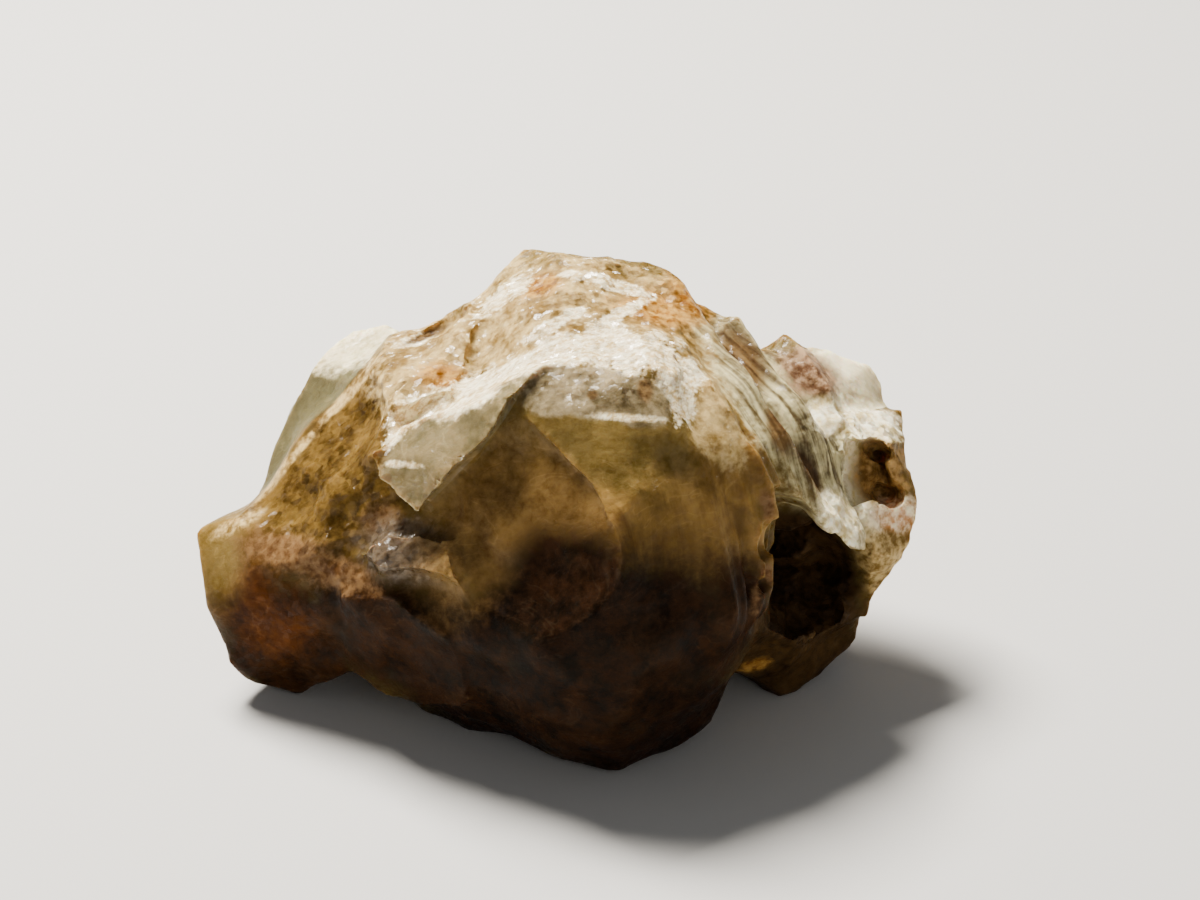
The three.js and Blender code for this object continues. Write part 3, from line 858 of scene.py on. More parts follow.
# A zone of the finish: its patches, the pair of colours and the noise that mottle it, how ragged and how
# soft its border is, its roughness, how much it glows from within, how much it glints, and the lobe or
# break that it keeps to.
Zone = namedtuple("Zone", "patches tones mottle fray soft roughness glow glaze form", defaults=(0.1, None))
COARSE, MEDIUM, FINE, STRIPED, SPECKLED, FIBROUS = range(6)

# Each zone is laid over the ones before it. The heart's honey lies under them all. Some zones paint shade,
# highlights, glints or glow into the colour.
ZONES = {
    "amber_side": Zone(
        [
            patch(4.4, -4.0, 3.2, 2.6, -20),
            patch(5.4, -1.0, 1.5, 2.2),
            patch(1.4, -3.6, 2.4, 1.4, -35),
            hidden_patch(-2.0, 8.0, 6.0, 4.5),
            hidden_patch(11.0, 4.0, 3.0, 4.0),
        ],
        "amber", FIBROUS, 0.7, 0.9, 0.34, 0.5,
    ),
    "smoky_face": Zone(
        [patch(-2.2, -4.0, 4.2, 4.4, 0, 5)],
        "smoky", MEDIUM, 0.3, 0.9, 0.34, 0.5, 0.1, "frontFace",
    ),
    # Painted shade: the lower front and the foot at the back are painted near-black brown, as shade.
    "shaded_lower_front": Zone(
        [
            patch(0.8, -8.2, 6.6, 4.4, -6, 7),
            patch(-6.6, -8.0, 4.4, 2.8, 0, 7),
            patch(-1.3, -5.6, 3.0, 2.5, 0, 4),
            patch(-2.8, -6.8, 3.4, 1.8, 0, 4),
            patch(2.0, -11.2, 6.0, 3.2, 0, 7),
            patch(-3.5, -10.4, 6.0, 2.8, 0, 7),
            hidden_patch(0.0, 7.0, 0.0, 4.0),
        ],
        "lower_shade", MEDIUM, 0.45, 0.7, 0.4, 0.25, 0.0,
    ),
    "ochre_shoulder": Zone(
        [
            patch(-11.6, -2.6, 4.2, 3.0, 20, 4),
            patch(-10.0, 1.0, 2.0, 3.0, -30, 4),
            patch(-9.0, -1.6, 1.4, 2.6),
            hidden_patch(-10.5, 4.5, 2.0, 4.0),
            hidden_patch(5.0, 8.0, 9.0, 3.5),
        ],
        "ochre", MEDIUM, 0.6, 0.5, 0.45, 0.35,
    ),
    # Painted shade: the underside of the left end, and a spot low on the front's right, are painted nearly
    # black over the stone's own brown.
    "shaded_left_underside": Zone(
        [
            patch(-12.2, -7.2, 3.8, 2.0, -8, 5),
            patch(-12.4, -8.6, 3.4, 1.8, -8, 5),
            patch(-9.8, -6.8, 2.4, 2.4, 0, 5),
            patch(-14.4, -6.0, 1.5, 1.5),
            patch(5.6, -6.6, 1.5, 2.4, 0, 4),
        ],
        "underside_shade", MEDIUM, 0.6, 0.8, 0.42, 0.35, 0.0,
    ),
    # Painted glow: orange under the left end stands in for light shining through it, besides the real glow
    # from within.
    "painted_glow_left_end": Zone(
        [patch(-14.2, -5.7, 1.5, 1.3), patch(-13.0, -7.2, 1.4, 1.0)],
        "painted_glow", MEDIUM, 0.7, 1.4, 0.4, 0.6, 0.0,
    ),
    "straw_edge": Zone([patch(-15.5, -4.2, 1.3, 2.0)], "straw", COARSE, 0.3, 1.2, 0.4, 0.7),
    "blush_streaks": Zone(
        [
            patch(-12.6, -4.1, 2.0, 0.7, -10),
            patch(-10.6, -4.9, 1.8, 0.6, -10),
            patch(-8.7, -3.0, 0.7, 0.8, 30),
        ],
        "blush", FINE, 1.3, 1.1, 0.5, 0.3,
    ),
    "tan_summit": Zone(
        [
            patch(-7.2, 3.2, 2.4, 1.6, 20),
            patch(-0.6, 6.0, 5.8, 2.6, -8),
            patch(-4.4, 5.0, 2.8, 1.8, 30),
            patch(-2.6, 3.9, 2.4, 1.3, 20),
            patch(4.2, 3.4, 1.4, 2.6, 20),
            patch(4.7, 0.8, 0.9, 1.7, 20),
            patch(-6.8, 4.5, 2.0, 1.0, 15),
            hidden_patch(-1.0, 5.5, 12.5, 4.0),
            hidden_patch(9.5, 6.0, 7.5, 3.5),
        ],
        "tan", MEDIUM, 0.8, 0.5, 0.5, 0.2, 0.5,
    ),
    "rust_stains": Zone(
        [
            patch(2.3, 5.6, 1.6, 0.8, -15),
            patch(3.6, 5.9, 0.8, 1.2, 30),
            patch(-6.3, 2.9, 0.9, 0.6),
            patch(-2.4, 6.6, 0.8, 0.5, 20),
            hidden_patch(2.0, 7.5, 4.0, 1.6),
        ],
        "rust", FINE, 1.3, 1.0, 0.45, 0.3,
    ),
    # Partly painted highlight: the band where the shoulder catches the light is painted near-white over its
    # frosting.
    "frost_and_highlight_band": Zone(
        [
            patch(-8.0, 1.0, 0.5, 1.0, -20),
            patch(-6.2, 1.8, 1.5, 0.75, 12),
            patch(-4.6, 2.6, 1.4, 0.6, 18),
            patch(-3.0, 3.2, 1.4, 0.7, 25),
            patch(-1.4, 4.0, 1.4, 0.8, 20),
            patch(0.2, 4.2, 1.5, 0.9, 0),
            patch(2.0, 3.8, 1.5, 1.0, -15),
            patch(3.0, 3.0, 1.1, 1.0, -30),
            patch(3.2, 2.0, 0.5, 0.9, 15),
            patch(0.8, 6.5, 1.0, 0.3, -10),
            patch(-7.4, 4.4, 0.8, 0.25, 15),
            patch(-3.8, 6.2, 1.3, 0.4, 35),
            patch(0.6, 5.3, 1.6, 0.25, 30),
            patch(-0.4, 6.9, 1.1, 0.25, -8),
            patch(-2.0, 4.9, 1.3, 0.25, 30),
        ],
        "frost_and_highlight", SPECKLED, 1.7, 0.4, 0.4, 0.12, 0.9,
    ),
    "celadon_side": Zone(
        [patch(-10.7, 3.2, 3.6, 3.0, 0, 5), patch(-12.4, 0.6, 2.6, 4.0, -25, 5)],
        "celadon", COARSE, 0.2, 0.3, 0.35, 0.6, 0.2, "paleCrystal",
    ),
    "pale_left": Zone(
        [patch(-10.0, 4.2, 2.2, 1.0, 12, 5)],
        "pale", FINE, 0.8, 0.7, 0.35, 0.5, 0.4, "paleCrystal",
    ),
    "pale_right": Zone(
        [patch(10.6, 3.0, 2.6, 2.4, 0, 5)],
        "pale", COARSE, 0.5, 0.4, 0.4, 0.6, 0.1, "rightBackCrystal",
    ),
    "flake": Zone(
        [patch(-6.4, -0.4, 3.2, 1.9, 38, 2.4), patch(-4.4, 1.4, 2.2, 1.2, 35, 2.2)],
        "flake", MEDIUM, 0.1, 0.2, 0.28, 0.7, 0.5, "flake",
    ),
    # Partly painted highlight: whitish glints painted along the flake's top and as a thin line across it,
    # over frosting.
    "flake_frost_and_glints": Zone(
        [
            patch(-5.2, 1.9, 1.5, 0.35, 24, 2.0),
            patch(-7.7, 1.2, 0.5, 0.5, 0, 2.0),
            patch(-7.8, -0.6, 0.8, 0.13, -4, 2.0),
        ],
        "frost_and_highlight", SPECKLED, 1.7, 0.9, 0.35, 0.2, 0.9,
    ),
    "lilac_ledge": Zone([patch(-7.8, -4.0, 2.5, 1.2, -8, 2.5)], "lilac", FINE, 0.6, 0.7, 0.33, 0.5, 0.4),
    "smoke_veil": Zone([patch(-5.2, -3.2, 1.5, 2.6, -20, 3)], "smoky", MEDIUM, 0.6, 1.6, 0.34, 0.5),
    "pale_ridge": Zone(
        [
            patch(-12.4, -0.4, 2.0, 0.16, 50),
            patch(-10.0, 2.3, 1.6, 0.18, 46),
            # Painted highlight on the left end's upper rim.
            patch(-14.6, -3.0, 1.0, 0.25, 28),
        ],
        "tan", FINE, 0.9, 1.0, 0.4, 0.3,
    ),
    "stepped_facets": Zone(
        [
            patch(-1.8, 2.4, 1.3, 1.0, 15, 2.5),
            patch(-0.2, 2.3, 1.6, 1.0, -5, 2.5),
            patch(1.5, 1.9, 1.3, 0.95, -20, 2.5),
        ],
        "step", MEDIUM, 0.22, 0.25, 0.3, 0.4, 0.2,
    ),
    # The long thin third patch darkens the crease in the tan lump.
    "dark_specks": Zone(
        [patch(-0.3, 2.2, 0.2, 0.2), patch(1.8, 2.4, 0.3, 0.5), patch(-6.9, 4.6, 1.0, 0.15, 24)],
        "bark", FINE, 0.6, 0.8, 0.4, 0.3,
    ),
    # Painted glint: a thin near-white line along the foot of the steps.
    "painted_glint_line": Zone([patch(1.1, 1.3, 1.2, 0.15, -4)], "frost_and_highlight", SPECKLED, 1.2, 0.9, 0.35, 0.2, 0.9),
    "striated_wing": Zone(
        [
            patch(7.4, 1.6, 2.6, 4.8, 28),
            patch(9.2, -1.0, 1.8, 3.6, 28, 3.0),
            patch(5.8, 3.4, 1.0, 2.2, 28),
        ],
        "wing", STRIPED, 0.8, 0.5, 0.45, 0.2, 0.2,
    ),
    "bark_streak": Zone(
        [patch(7.1, 0.8, 0.4, 1.2, 20, 2.0), patch(8.3, -0.8, 0.25, 1.2, 28, 2.0)],
        "bark", STRIPED, 0.8, 0.8, 0.4, 0.3,
    ),
    "grey_shoulder": Zone([patch(5.7, 3.6, 0.9, 1.6, 30, 2.0)], "bark", STRIPED, 0.7, 0.9, 0.4, 0.3, 0.3),
    "plum_patch": Zone([patch(8.5, 3.0, 1.3, 1.0, -20, 2.5)], "plum", FINE, 0.9, 0.7, 0.4, 0.3),
    "cream_ledge": Zone(
        [
            patch(10.3, -1.4, 0.5, 2.6, 14, 2.0),
            patch(10.9, 1.0, 1.7, 0.7, -5, 2.0),
            patch(9.0, 1.3, 0.9, 0.8, 30, 2.0),
            patch(9.6, -2.8, 0.9, 1.2, 30, 2.0),
        ],
        "cream", FINE, 0.8, 0.7, 0.5, 0.2,
    ),
    "tip_recess": Zone([patch(11.1, -0.9, 1.1, 1.4, 0, 3.0)], "recess", FINE, 0.8, 0.6, 0.5, 0.2),
    "tip_point": Zone([patch(11.6, -4.4, 1.2, 1.6, 20)], "tan", FINE, 0.8, 0.8, 0.5, 0.2),
    "tip_flush": Zone([patch(11.8, -2.6, 0.9, 0.7)], "flush", FINE, 0.8, 0.8, 0.5, 0.3),
    # Partly painted shade: the lower right lobe and a spot low on the right are their own dark brown, painted
    # darker as shade.
    "shaded_lower_right_lobe": Zone(
        [
            patch(8.0, -7.8, 3.2, 2.2, 10, 5.0),
            patch(8.4, -9.0, 3.4, 1.8, 10, 5.0),
            hidden_patch(9.0, 1.0, 2.0, 3.0),
        ],
        "umber_and_shade", MEDIUM, 0.6, 0.6, 0.5, 0.25, 0.0,
    ),
    "edge_tips": Zone(
        [
            patch(6.7, -2.2, 0.25, 0.6, 10),
            patch(6.6, -4.9, 0.25, 0.3),
            patch(6.2, -6.0, 0.22, 0.4),
        ],
        "blush", FINE, 1.4, 1.2, 0.45, 0.4,
    ),
    "orange_spot": Zone([patch(6.2, -8.6, 0.55, 0.22, 10)], "rust", FINE, 1.4, 1.2, 0.45, 0.3),
    # Painted shade: the overhung hollow is painted near-black brown.
    "shaded_hollow": Zone(
        [patch(8.1, -4.6, 2.1, 3.0, 28, 6.0)],
        "hollow_shade", MEDIUM, 0.25, 0.35, 0.55, 0.1, 0.0,
    ),
}


def colour(name, description, red, green, blue):
    """A colour property whose default is given as screen values from 0 to 255."""

    def linear(value):
        share = value / 255
        return share / 12.92 if share <= 0.04045 else ((share + 0.055) / 1.055) ** 2.4

    return FloatVectorProperty(
        name=name,
        description=description,
        subtype="COLOR",
        size=3,
        min=0,
        max=1,
        default=[linear(value) for value in (red, green, blue)],
    )


class StoneColours(bpy.types.PropertyGroup):
    """The crystal's colours, each zone's as a darker and a lighter one that mottle it."""

    honey_dark: colour("Honey, dark", "Darker colour of the glassy heart", 72, 56, 20)
    honey_light: colour("Honey, light", "Lighter colour of the glassy heart", 118, 98, 52)
    amber_dark: colour("Amber, dark", "Darker colour of the heart's right side", 90, 64, 28)
    amber_light: colour("Amber, light", "Lighter colour of the heart's right side", 152, 120, 64)
    smoky_dark: colour("Smoky, dark", "Darker colour of the hollowed front face", 74, 52, 22)
    smoky_light: colour("Smoky, light", "Lighter colour of the hollowed front face", 138, 108, 60)
    # Painted shade of the lower front and the foot.
    lower_shade_dark: colour("Deep, dark", "Darker colour of the lower front", 12, 7, 3)
    lower_shade_light: colour("Deep, light", "Lighter colour of the lower front", 42, 24, 10)
    ochre_dark: colour("Ochre, dark", "Darker colour of the left shoulder", 56, 38, 8)
    ochre_light: colour("Ochre, light", "Lighter colour of the left shoulder", 110, 84, 36)
    # Painted shade under the left end, over its own brown.
    underside_shade_dark: colour("Burnt, dark", "Darker colour under the left end", 20, 9, 2)
    underside_shade_light: colour("Burnt, light", "Lighter colour under the left end", 50, 28, 9)
    # Painted glow of light shining through the left end.
    painted_glow_dark: colour("Ember, dark", "Darker colour of the left end's glow", 54, 25, 4)
    painted_glow_light: colour("Ember, light", "Lighter colour of the left end's glow", 96, 52, 10)
    straw_dark: colour("Straw, dark", "Darker colour of the left end's thin edge", 92, 72, 24)
    straw_light: colour("Straw, light", "Lighter colour of the left end's thin edge", 136, 112, 62)
    blush_dark: colour("Blush, dark", "Darker colour of the pink streaks", 78, 50, 24)
    blush_light: colour("Blush, light", "Lighter colour of the pink streaks", 120, 90, 56)
    tan_dark: colour("Tan, dark", "Darker colour of the rough summit", 112, 86, 40)
    tan_light: colour("Tan, light", "Lighter colour of the rough summit", 200, 172, 114)
    rust_dark: colour("Rust, dark", "Darker colour of the rusty stains", 112, 66, 8)
    rust_light: colour("Rust, light", "Lighter colour of the rusty stains", 180, 136, 66)
    # Frosting, and the painted highlight and glints laid with it.
    frost_and_highlight_dark: colour("Frost, dark", "Darker colour of the frosted band", 192, 162, 108)
    frost_and_highlight_light: colour("Frost, light", "Lighter colour of the frosted band", 255, 244, 208)
    pale_dark: colour("Pale, dark", "Darker colour of the pale crystals", 178, 164, 120)
    pale_light: colour("Pale, light", "Lighter colour of the pale crystals", 242, 230, 190)
    celadon_dark: colour("Celadon, dark", "Darker colour of the pale crystal's side", 68, 62, 38)
    celadon_light: colour("Celadon, light", "Lighter colour of the pale crystal's side", 104, 96, 66)
    flake_dark: colour("Flake, dark", "Darker colour of the pale flake", 84, 76, 50)
    flake_light: colour("Flake, light", "Lighter colour of the pale flake", 134, 118, 84)
    lilac_dark: colour("Lilac, dark", "Darker colour of the grey ledge", 54, 43, 30)
    lilac_light: colour("Lilac, light", "Lighter colour of the grey ledge", 98, 84, 67)
    step_dark: colour("Steps, dark", "Darker colour of the steps atop the front", 80, 68, 44)
    step_light: colour("Steps, light", "Lighter colour of the steps atop the front", 146, 130, 98)
    wing_dark: colour("Wing, dark", "Darker colour of the striated wing", 82, 68, 44)
    wing_light: colour("Wing, light", "Lighter colour of the striated wing", 206, 194, 146)
    bark_dark: colour("Bark, dark", "Darker colour of the wing's brown streak", 58, 38, 18)
    bark_light: colour("Bark, light", "Lighter colour of the wing's brown streak", 110, 86, 52)
    plum_dark: colour("Plum, dark", "Darker colour of the purple-brown patch", 92, 64, 44)
    plum_light: colour("Plum, light", "Lighter colour of the purple-brown patch", 166, 136, 104)
    cream_dark: colour("Cream, dark", "Darker colour of the cream ledge", 214, 192, 136)
    cream_light: colour("Cream, light", "Lighter colour of the cream ledge", 254, 246, 214)
    recess_dark: colour("Recess, dark", "Darker colour of the recess in the tip", 108, 78, 34)
    recess_light: colour("Recess, light", "Lighter colour of the recess in the tip", 180, 142, 84)
    flush_dark: colour("Flush, dark", "Darker colour of the pink spot on the tip", 196, 138, 84)
    flush_light: colour("Flush, light", "Lighter colour of the pink spot on the tip", 255, 236, 200)
    # The lower right lobe's own brown, painted darker as shade.
    umber_and_shade_dark: colour("Umber, dark", "Darker colour of the lower right lobe", 34, 21, 8)
    umber_and_shade_light: colour("Umber, light", "Lighter colour of the lower right lobe", 74, 53, 26)
    # Painted shade in the dark hollow.
    hollow_shade_dark: colour("Cavity, dark", "Darker colour of the dark hollow", 24, 14, 6)
    hollow_shade_light: colour("Cavity, light", "Lighter colour of the dark hollow", 64, 45, 22)


def length(name, description, default, least=0.0, most=3.0):
    """A length property, whose default and limits are given in millimetres."""
    return FloatProperty(
        name=name,
        description=description,
        subtype="DISTANCE",
        unit="LENGTH",
        default=default * MM,
        min=least * MM,
        max=most * MM,
        precision=6,
    )


class StoneSizes(bpy.types.PropertyGroup):
    """The sizes of the crystal's relief and finish."""

    cell: length("Skin cell", "Width of the skin's cells. 0.157 mm gives 176,000 facets", 0.157, least=0.15)
    small_chip_depth: length("Small chip depth", "Depth of the small chips where the skin is rough", 0.26)
    fine_rib_depth: length("Fine rib depth", "Depth of the wing's finest striations", 0.16)
    grain_size: length("Grain size", "Width of the cleaved facets that end the rough skin", 0.7, least=0.1)
    grain_depth: length("Grain depth", "How far the little cleaved facets stand off the skin", 0.12)
    grain_seed: IntProperty(name="Grain seed", description="Which scatter of facets is used", default=4)
    glow_reach: length("Glow reach", "How far light runs inside the crystal before it comes out again", 0.9)


def add(tree, kind, inputs=None, **settings):
    """A node with its settings made and its inputs linked or set, to the right of the nodes that feed it."""
    node = tree.nodes.new(kind)
    for name, value in settings.items():
        setattr(node, name, value)
    column = 0
    for key, value in (inputs or {}).items():
        if isinstance(value, bpy.types.NodeSocket):
            tree.links.new(value, node.inputs[key])
            column = max(column, value.node.location.x + 220)
        else:
            node.inputs[key].default_value = value
    row = sum(other.location.x == column for other in tree.nodes if other != node)
    node.location = (column, -240 * row)
    return node


def maths(tree, operation, *values):
    return add(tree, "ShaderNodeMath", dict(enumerate(values)), operation=operation).outputs[0]


def vector_maths(tree, operation, *values):
    node = add(tree, "ShaderNodeVectorMath", dict(enumerate(values)), operation=operation)
    return node.outputs["Value" if operation in ("DOT_PRODUCT", "LENGTH") else "Vector"]


def remap(tree, value, low, high, to_low=0.0, to_high=1.0, kind="SMOOTHSTEP"):
    inputs = {"Value": value, "From Min": low, "From Max": high, "To Min": to_low, "To Max": to_high}
    return add(tree, "ShaderNodeMapRange", inputs, interpolation_type=kind).outputs[0]


def blend(tree, share, one, other):
    """One colour going over into another."""
    return add(tree, "ShaderNodeMix", {0: share, 6: one, 7: other}, data_type="RGBA").outputs[2]


def blend_value(tree, share, one, other):
    return add(tree, "ShaderNodeMix", {0: share, 2: one, 3: other}, data_type="FLOAT").outputs[0]


def noise(tree, place, size, detail=4.0, roughness=0.55, distortion=0.0):
    """Smooth noise whose largest lumps are about that size, in the unit of place."""
    inputs = {
        "Vector": place,
        "Scale": 1 / size,
        "Detail": detail,
        "Roughness": roughness,
        "Distortion": distortion,
    }
    return add(tree, "ShaderNodeTexNoise", inputs).outputs["Fac"]


def attribute(tree, name):
    return add(tree, "ShaderNodeAttribute", attribute_name=name).outputs["Fac"]


def spread_out(tree, value):
    """One number as all three parts of a vector."""
    return add(tree, "ShaderNodeCombineXYZ", {0: value, 1: value, 2: value}).outputs[0]


def scaled(tree, vector, factor):
    inputs = {0: vector, "Scale": factor}
    return add(tree, "ShaderNodeVectorMath", inputs, operation="SCALE").outputs["Vector"]


def grain_tree(material):
    """Geometry nodes that end the rough skin in little cleaved facets, each tilted its own way."""
    tree = bpy.data.node_groups.new("Cleaved grain", "GeometryNodeTree")
    sockets = tree.interface
    sockets.new_socket("Skin", in_out="INPUT", socket_type="NodeSocketGeometry")
    sockets.new_socket("Grain size", in_out="INPUT", socket_type="NodeSocketFloat")
    sockets.new_socket("Grain depth", in_out="INPUT", socket_type="NodeSocketFloat")
    sockets.new_socket("Seed", in_out="INPUT", socket_type="NodeSocketInt")
    sockets.new_socket("Grained skin", in_out="OUTPUT", socket_type="NodeSocketGeometry")
    given = tree.nodes.new("NodeGroupInput").outputs
    place = add(tree, "GeometryNodeInputPosition").outputs[0]
    cells = vector_maths(tree, "DIVIDE", place, spread_out(tree, given["Grain size"]))
    cells = vector_maths(tree, "ADD", cells, spread_out(tree, given["Seed"]))
    scatter = add(tree, "ShaderNodeTexVoronoi", {"Vector": cells, "Scale": 1.0}, voronoi_dimensions="3D")
    offset = vector_maths(tree, "SUBTRACT", cells, scatter.outputs["Position"])
    tilt = vector_maths(tree, "SUBTRACT", scatter.outputs["Color"], (0.5, 0.5, 0.5))
    border = add(
        tree,
        "ShaderNodeTexVoronoi",
        {"Vector": cells, "Scale": 1.0},
        voronoi_dimensions="3D",
        feature="DISTANCE_TO_EDGE",
    ).outputs["Distance"]
    facet = vector_maths(tree, "DOT_PRODUCT", offset, tilt)
    facet = maths(tree, "MULTIPLY", facet, remap(tree, border, 0.0, 0.3))
    grit = add(tree, "GeometryNodeInputNamedAttribute", {"Name": "grit"}, data_type="FLOAT").outputs[0]
    height = add(tree, "ShaderNodeSeparateXYZ", {0: place}).outputs["Z"]
    off_base = remap(tree, height, 0.1 * MM, 0.8 * MM)
    depth = maths(tree, "MULTIPLY", maths(tree, "MULTIPLY", given["Grain depth"], grit), off_base)
    steepest = 0.3
    held = maths(tree, "MAXIMUM", maths(tree, "MINIMUM", facet, steepest), -steepest)
    lift = maths(tree, "MULTIPLY", maths(tree, "MULTIPLY", held, 2.0), depth)
    move = scaled(tree, add(tree, "GeometryNodeInputNormal").outputs[0], lift)
    moved = add(tree, "GeometryNodeSetPosition", {"Geometry": given["Skin"], "Offset": move}).outputs[0]
    whole = add(tree, "GeometryNodeRealizeInstances", {"Geometry": moved}).outputs[0]
    dressed = add(tree, "GeometryNodeSetMaterial", {"Geometry": whole, "Material": material}).outputs[0]
    add(tree, "NodeGroupOutput", {"Grained skin": dressed})
    return tree


def stone_material(colours, sizes):
    """The crystal's finish: waxy and glowing in the heart and on fresh faces, frosted and glinting on top,
    and with shade, highlights, glints and glow painted into its colour in places.
    """
    material = bpy.data.materials.new("Herderite")
    material.use_nodes = True
    tree = material.node_tree
    tree.nodes.clear()
    place = add(tree, "ShaderNodeTexCoord").outputs["Object"]
    place = scaled(tree, place, 1 / MM)

    # The noises that mottle the stone. Two are drawn out, along the summit's grain and along the ribs.
    coarse = noise(tree, place, 3.2, 5)
    medium = noise(tree, place, 1.1, 6, 0.6, 0.3)
    fine = noise(tree, place, 0.32, 4, 0.6)
    lengthways = vector_maths(tree, "DOT_PRODUCT", place, tuple(SUMMIT_GRAIN))
    shift = scaled(tree, tuple(SUMMIT_GRAIN * (1 - 1 / GRAIN_STRETCH)), lengthways)
    drawn = vector_maths(tree, "SUBTRACT", place, shift)
    speckled = noise(tree, drawn, 0.2, 3, 0.75)
    stripe_width = 0.42
    stripe_length = 5.0
    across = vector_maths(tree, "DOT_PRODUCT", place, tuple(RIB_ACROSS / stripe_width))
    along = vector_maths(tree, "DOT_PRODUCT", place, tuple(RIB_ALONG / stripe_length))
    combed = add(tree, "ShaderNodeCombineXYZ", {0: across, 1: along, 2: 0.0}).outputs[0]
    striped = noise(tree, combed, 1.0, 5, 0.6, 0.4)
    mottles = {
        COARSE: blend_value(tree, 0.3, coarse, fine),
        MEDIUM: blend_value(tree, 0.3, blend_value(tree, 0.35, medium, coarse), fine),
        FINE: blend_value(tree, 0.4, fine, medium),
        STRIPED: blend_value(tree, 0.2, striped, fine),
        SPECKLED: blend_value(tree, 0.25, speckled, medium),
        FIBROUS: blend_value(tree, 0.4, medium, striped),
    }
    frays = maths(tree, "MULTIPLY_ADD", medium, 1.2, maths(tree, "MULTIPLY", fine, 0.8))
    frays = maths(tree, "SUBTRACT", frays, 1.0)

    def tone(name, mottle, softly=False):
        share = remap(tree, mottle, 0.3, 0.7) if softly else remap(tree, mottle, 0.38, 0.62)
        dark = (*getattr(colours, name + "_dark"), 1)
        light = (*getattr(colours, name + "_light"), 1)
        return blend(tree, share, dark, light)

    # Faint pale clouds and thin veils hang inside the glassy heart.
    veil_place = vector_maths(tree, "MULTIPLY", place, (0.7, 1.0, 1.2))
    folds = noise(tree, veil_place, 2.4, 3, 0.5, 1.2)
    thin = remap(tree, maths(tree, "ABSOLUTE", maths(tree, "SUBTRACT", folds, 0.5)), 0.0, 0.02, 1, 0)
    veils = maths(tree, "MULTIPLY", thin, remap(tree, medium, 0.42, 0.58, 0, 0.6))
    clouds = remap(tree, noise(tree, place, 1.9, 4, 0.5, 0.5), 0.5, 0.68, 0, 0.35)
    inner = maths(tree, "MAXIMUM", veils, clouds)

    look = tone("honey", mottles[COARSE], softly=True)
    rough = 0.3
    glow = 0.6
    glaze = 0.1
    for name, zone in ZONES.items():
        edge = maths(tree, "MULTIPLY_ADD", frays, zone.fray, attribute(tree, name))
        share = remap(tree, edge, -zone.soft / 2, zone.soft / 2)
        look = blend(tree, share, look, tone(zone.tones, mottles[zone.mottle], softly=zone.glow >= 0.5))
        rough = blend_value(tree, share, rough, zone.roughness)
        glow = blend_value(tree, share, glow, zone.glow)
        glaze = blend_value(tree, share, glaze, zone.glaze)

    milky = vector_maths(tree, "MULTIPLY", look, (1.5, 1.5, 1.5))
    milky = vector_maths(tree, "ADD", milky, (0.04, 0.032, 0.02))
    look = blend(tree, maths(tree, "MULTIPLY", inner, glow), look, milky)

    # Sharp edges are painted paler: partly light scattering in the broken edges, and partly a painted
    # highlight along them.
    crest = remap(tree, attribute(tree, "crest"), 0.15, 0.9, 0, 0.5)
    edge_highlight = vector_maths(tree, "MULTIPLY", look, (1.6, 1.6, 1.6))
    edge_highlight = vector_maths(tree, "ADD", edge_highlight, (0.02, 0.018, 0.014))
    look = blend(tree, maths(tree, "MULTIPLY", crest, remap(tree, fine, 0.35, 0.6)), look, edge_highlight)
    rough = maths(tree, "ADD", rough, remap(tree, fine, 0.3, 0.7, -0.08, 0.14))

    # Flecks, each tilted its own way, catch the light where the skin is rough.
    grit = attribute(tree, "grit")
    flecks = add(tree, "ShaderNodeTexVoronoi", {"Vector": drawn, "Scale": 5.0})
    off_centre = vector_maths(tree, "SUBTRACT", drawn, flecks.outputs["Position"])
    tilt = vector_maths(tree, "SUBTRACT", flecks.outputs["Color"], (0.5, 0.5, 0.5))
    fleck = vector_maths(tree, "DOT_PRODUCT", off_centre, tilt)
    fleck = maths(tree, "MULTIPLY", fleck, maths(tree, "ADD", maths(tree, "MULTIPLY", grit, 0.9), 0.06))
    waviness = maths(tree, "MULTIPLY_ADD", medium, 0.06, maths(tree, "MULTIPLY", fine, 0.03))
    height = maths(tree, "ADD", fleck, waviness)
    normal = add(tree, "ShaderNodeBump", {"Height": height, "Distance": MM, "Strength": 0.8}).outputs[0]
    height = maths(tree, "MULTIPLY_ADD", fleck, 1.6, waviness)
    glint = add(tree, "ShaderNodeBump", {"Height": height, "Distance": MM, "Strength": 1.0}).outputs[0]

    shader = add(
        tree,
        "ShaderNodeBsdfPrincipled",
        {
            "Base Color": look,
            "Roughness": rough,
            "Normal": normal,
            "IOR": 1.5,
            "Specular IOR Level": 0.04,
            "Coat Weight": maths(tree, "MULTIPLY", glaze, remap(tree, fine, 0.4, 0.55)),
            "Coat Roughness": 0.16,
            "Coat IOR": 1.6,
            "Coat Normal": glint,
            "Subsurface Weight": glow,
            "Subsurface Radius": (1.0, 0.62, 0.3),
            "Subsurface Scale": sizes.glow_reach,
        },
    )
    add(tree, "ShaderNodeOutputMaterial", {"Surface": shader.outputs[0]})
    return material


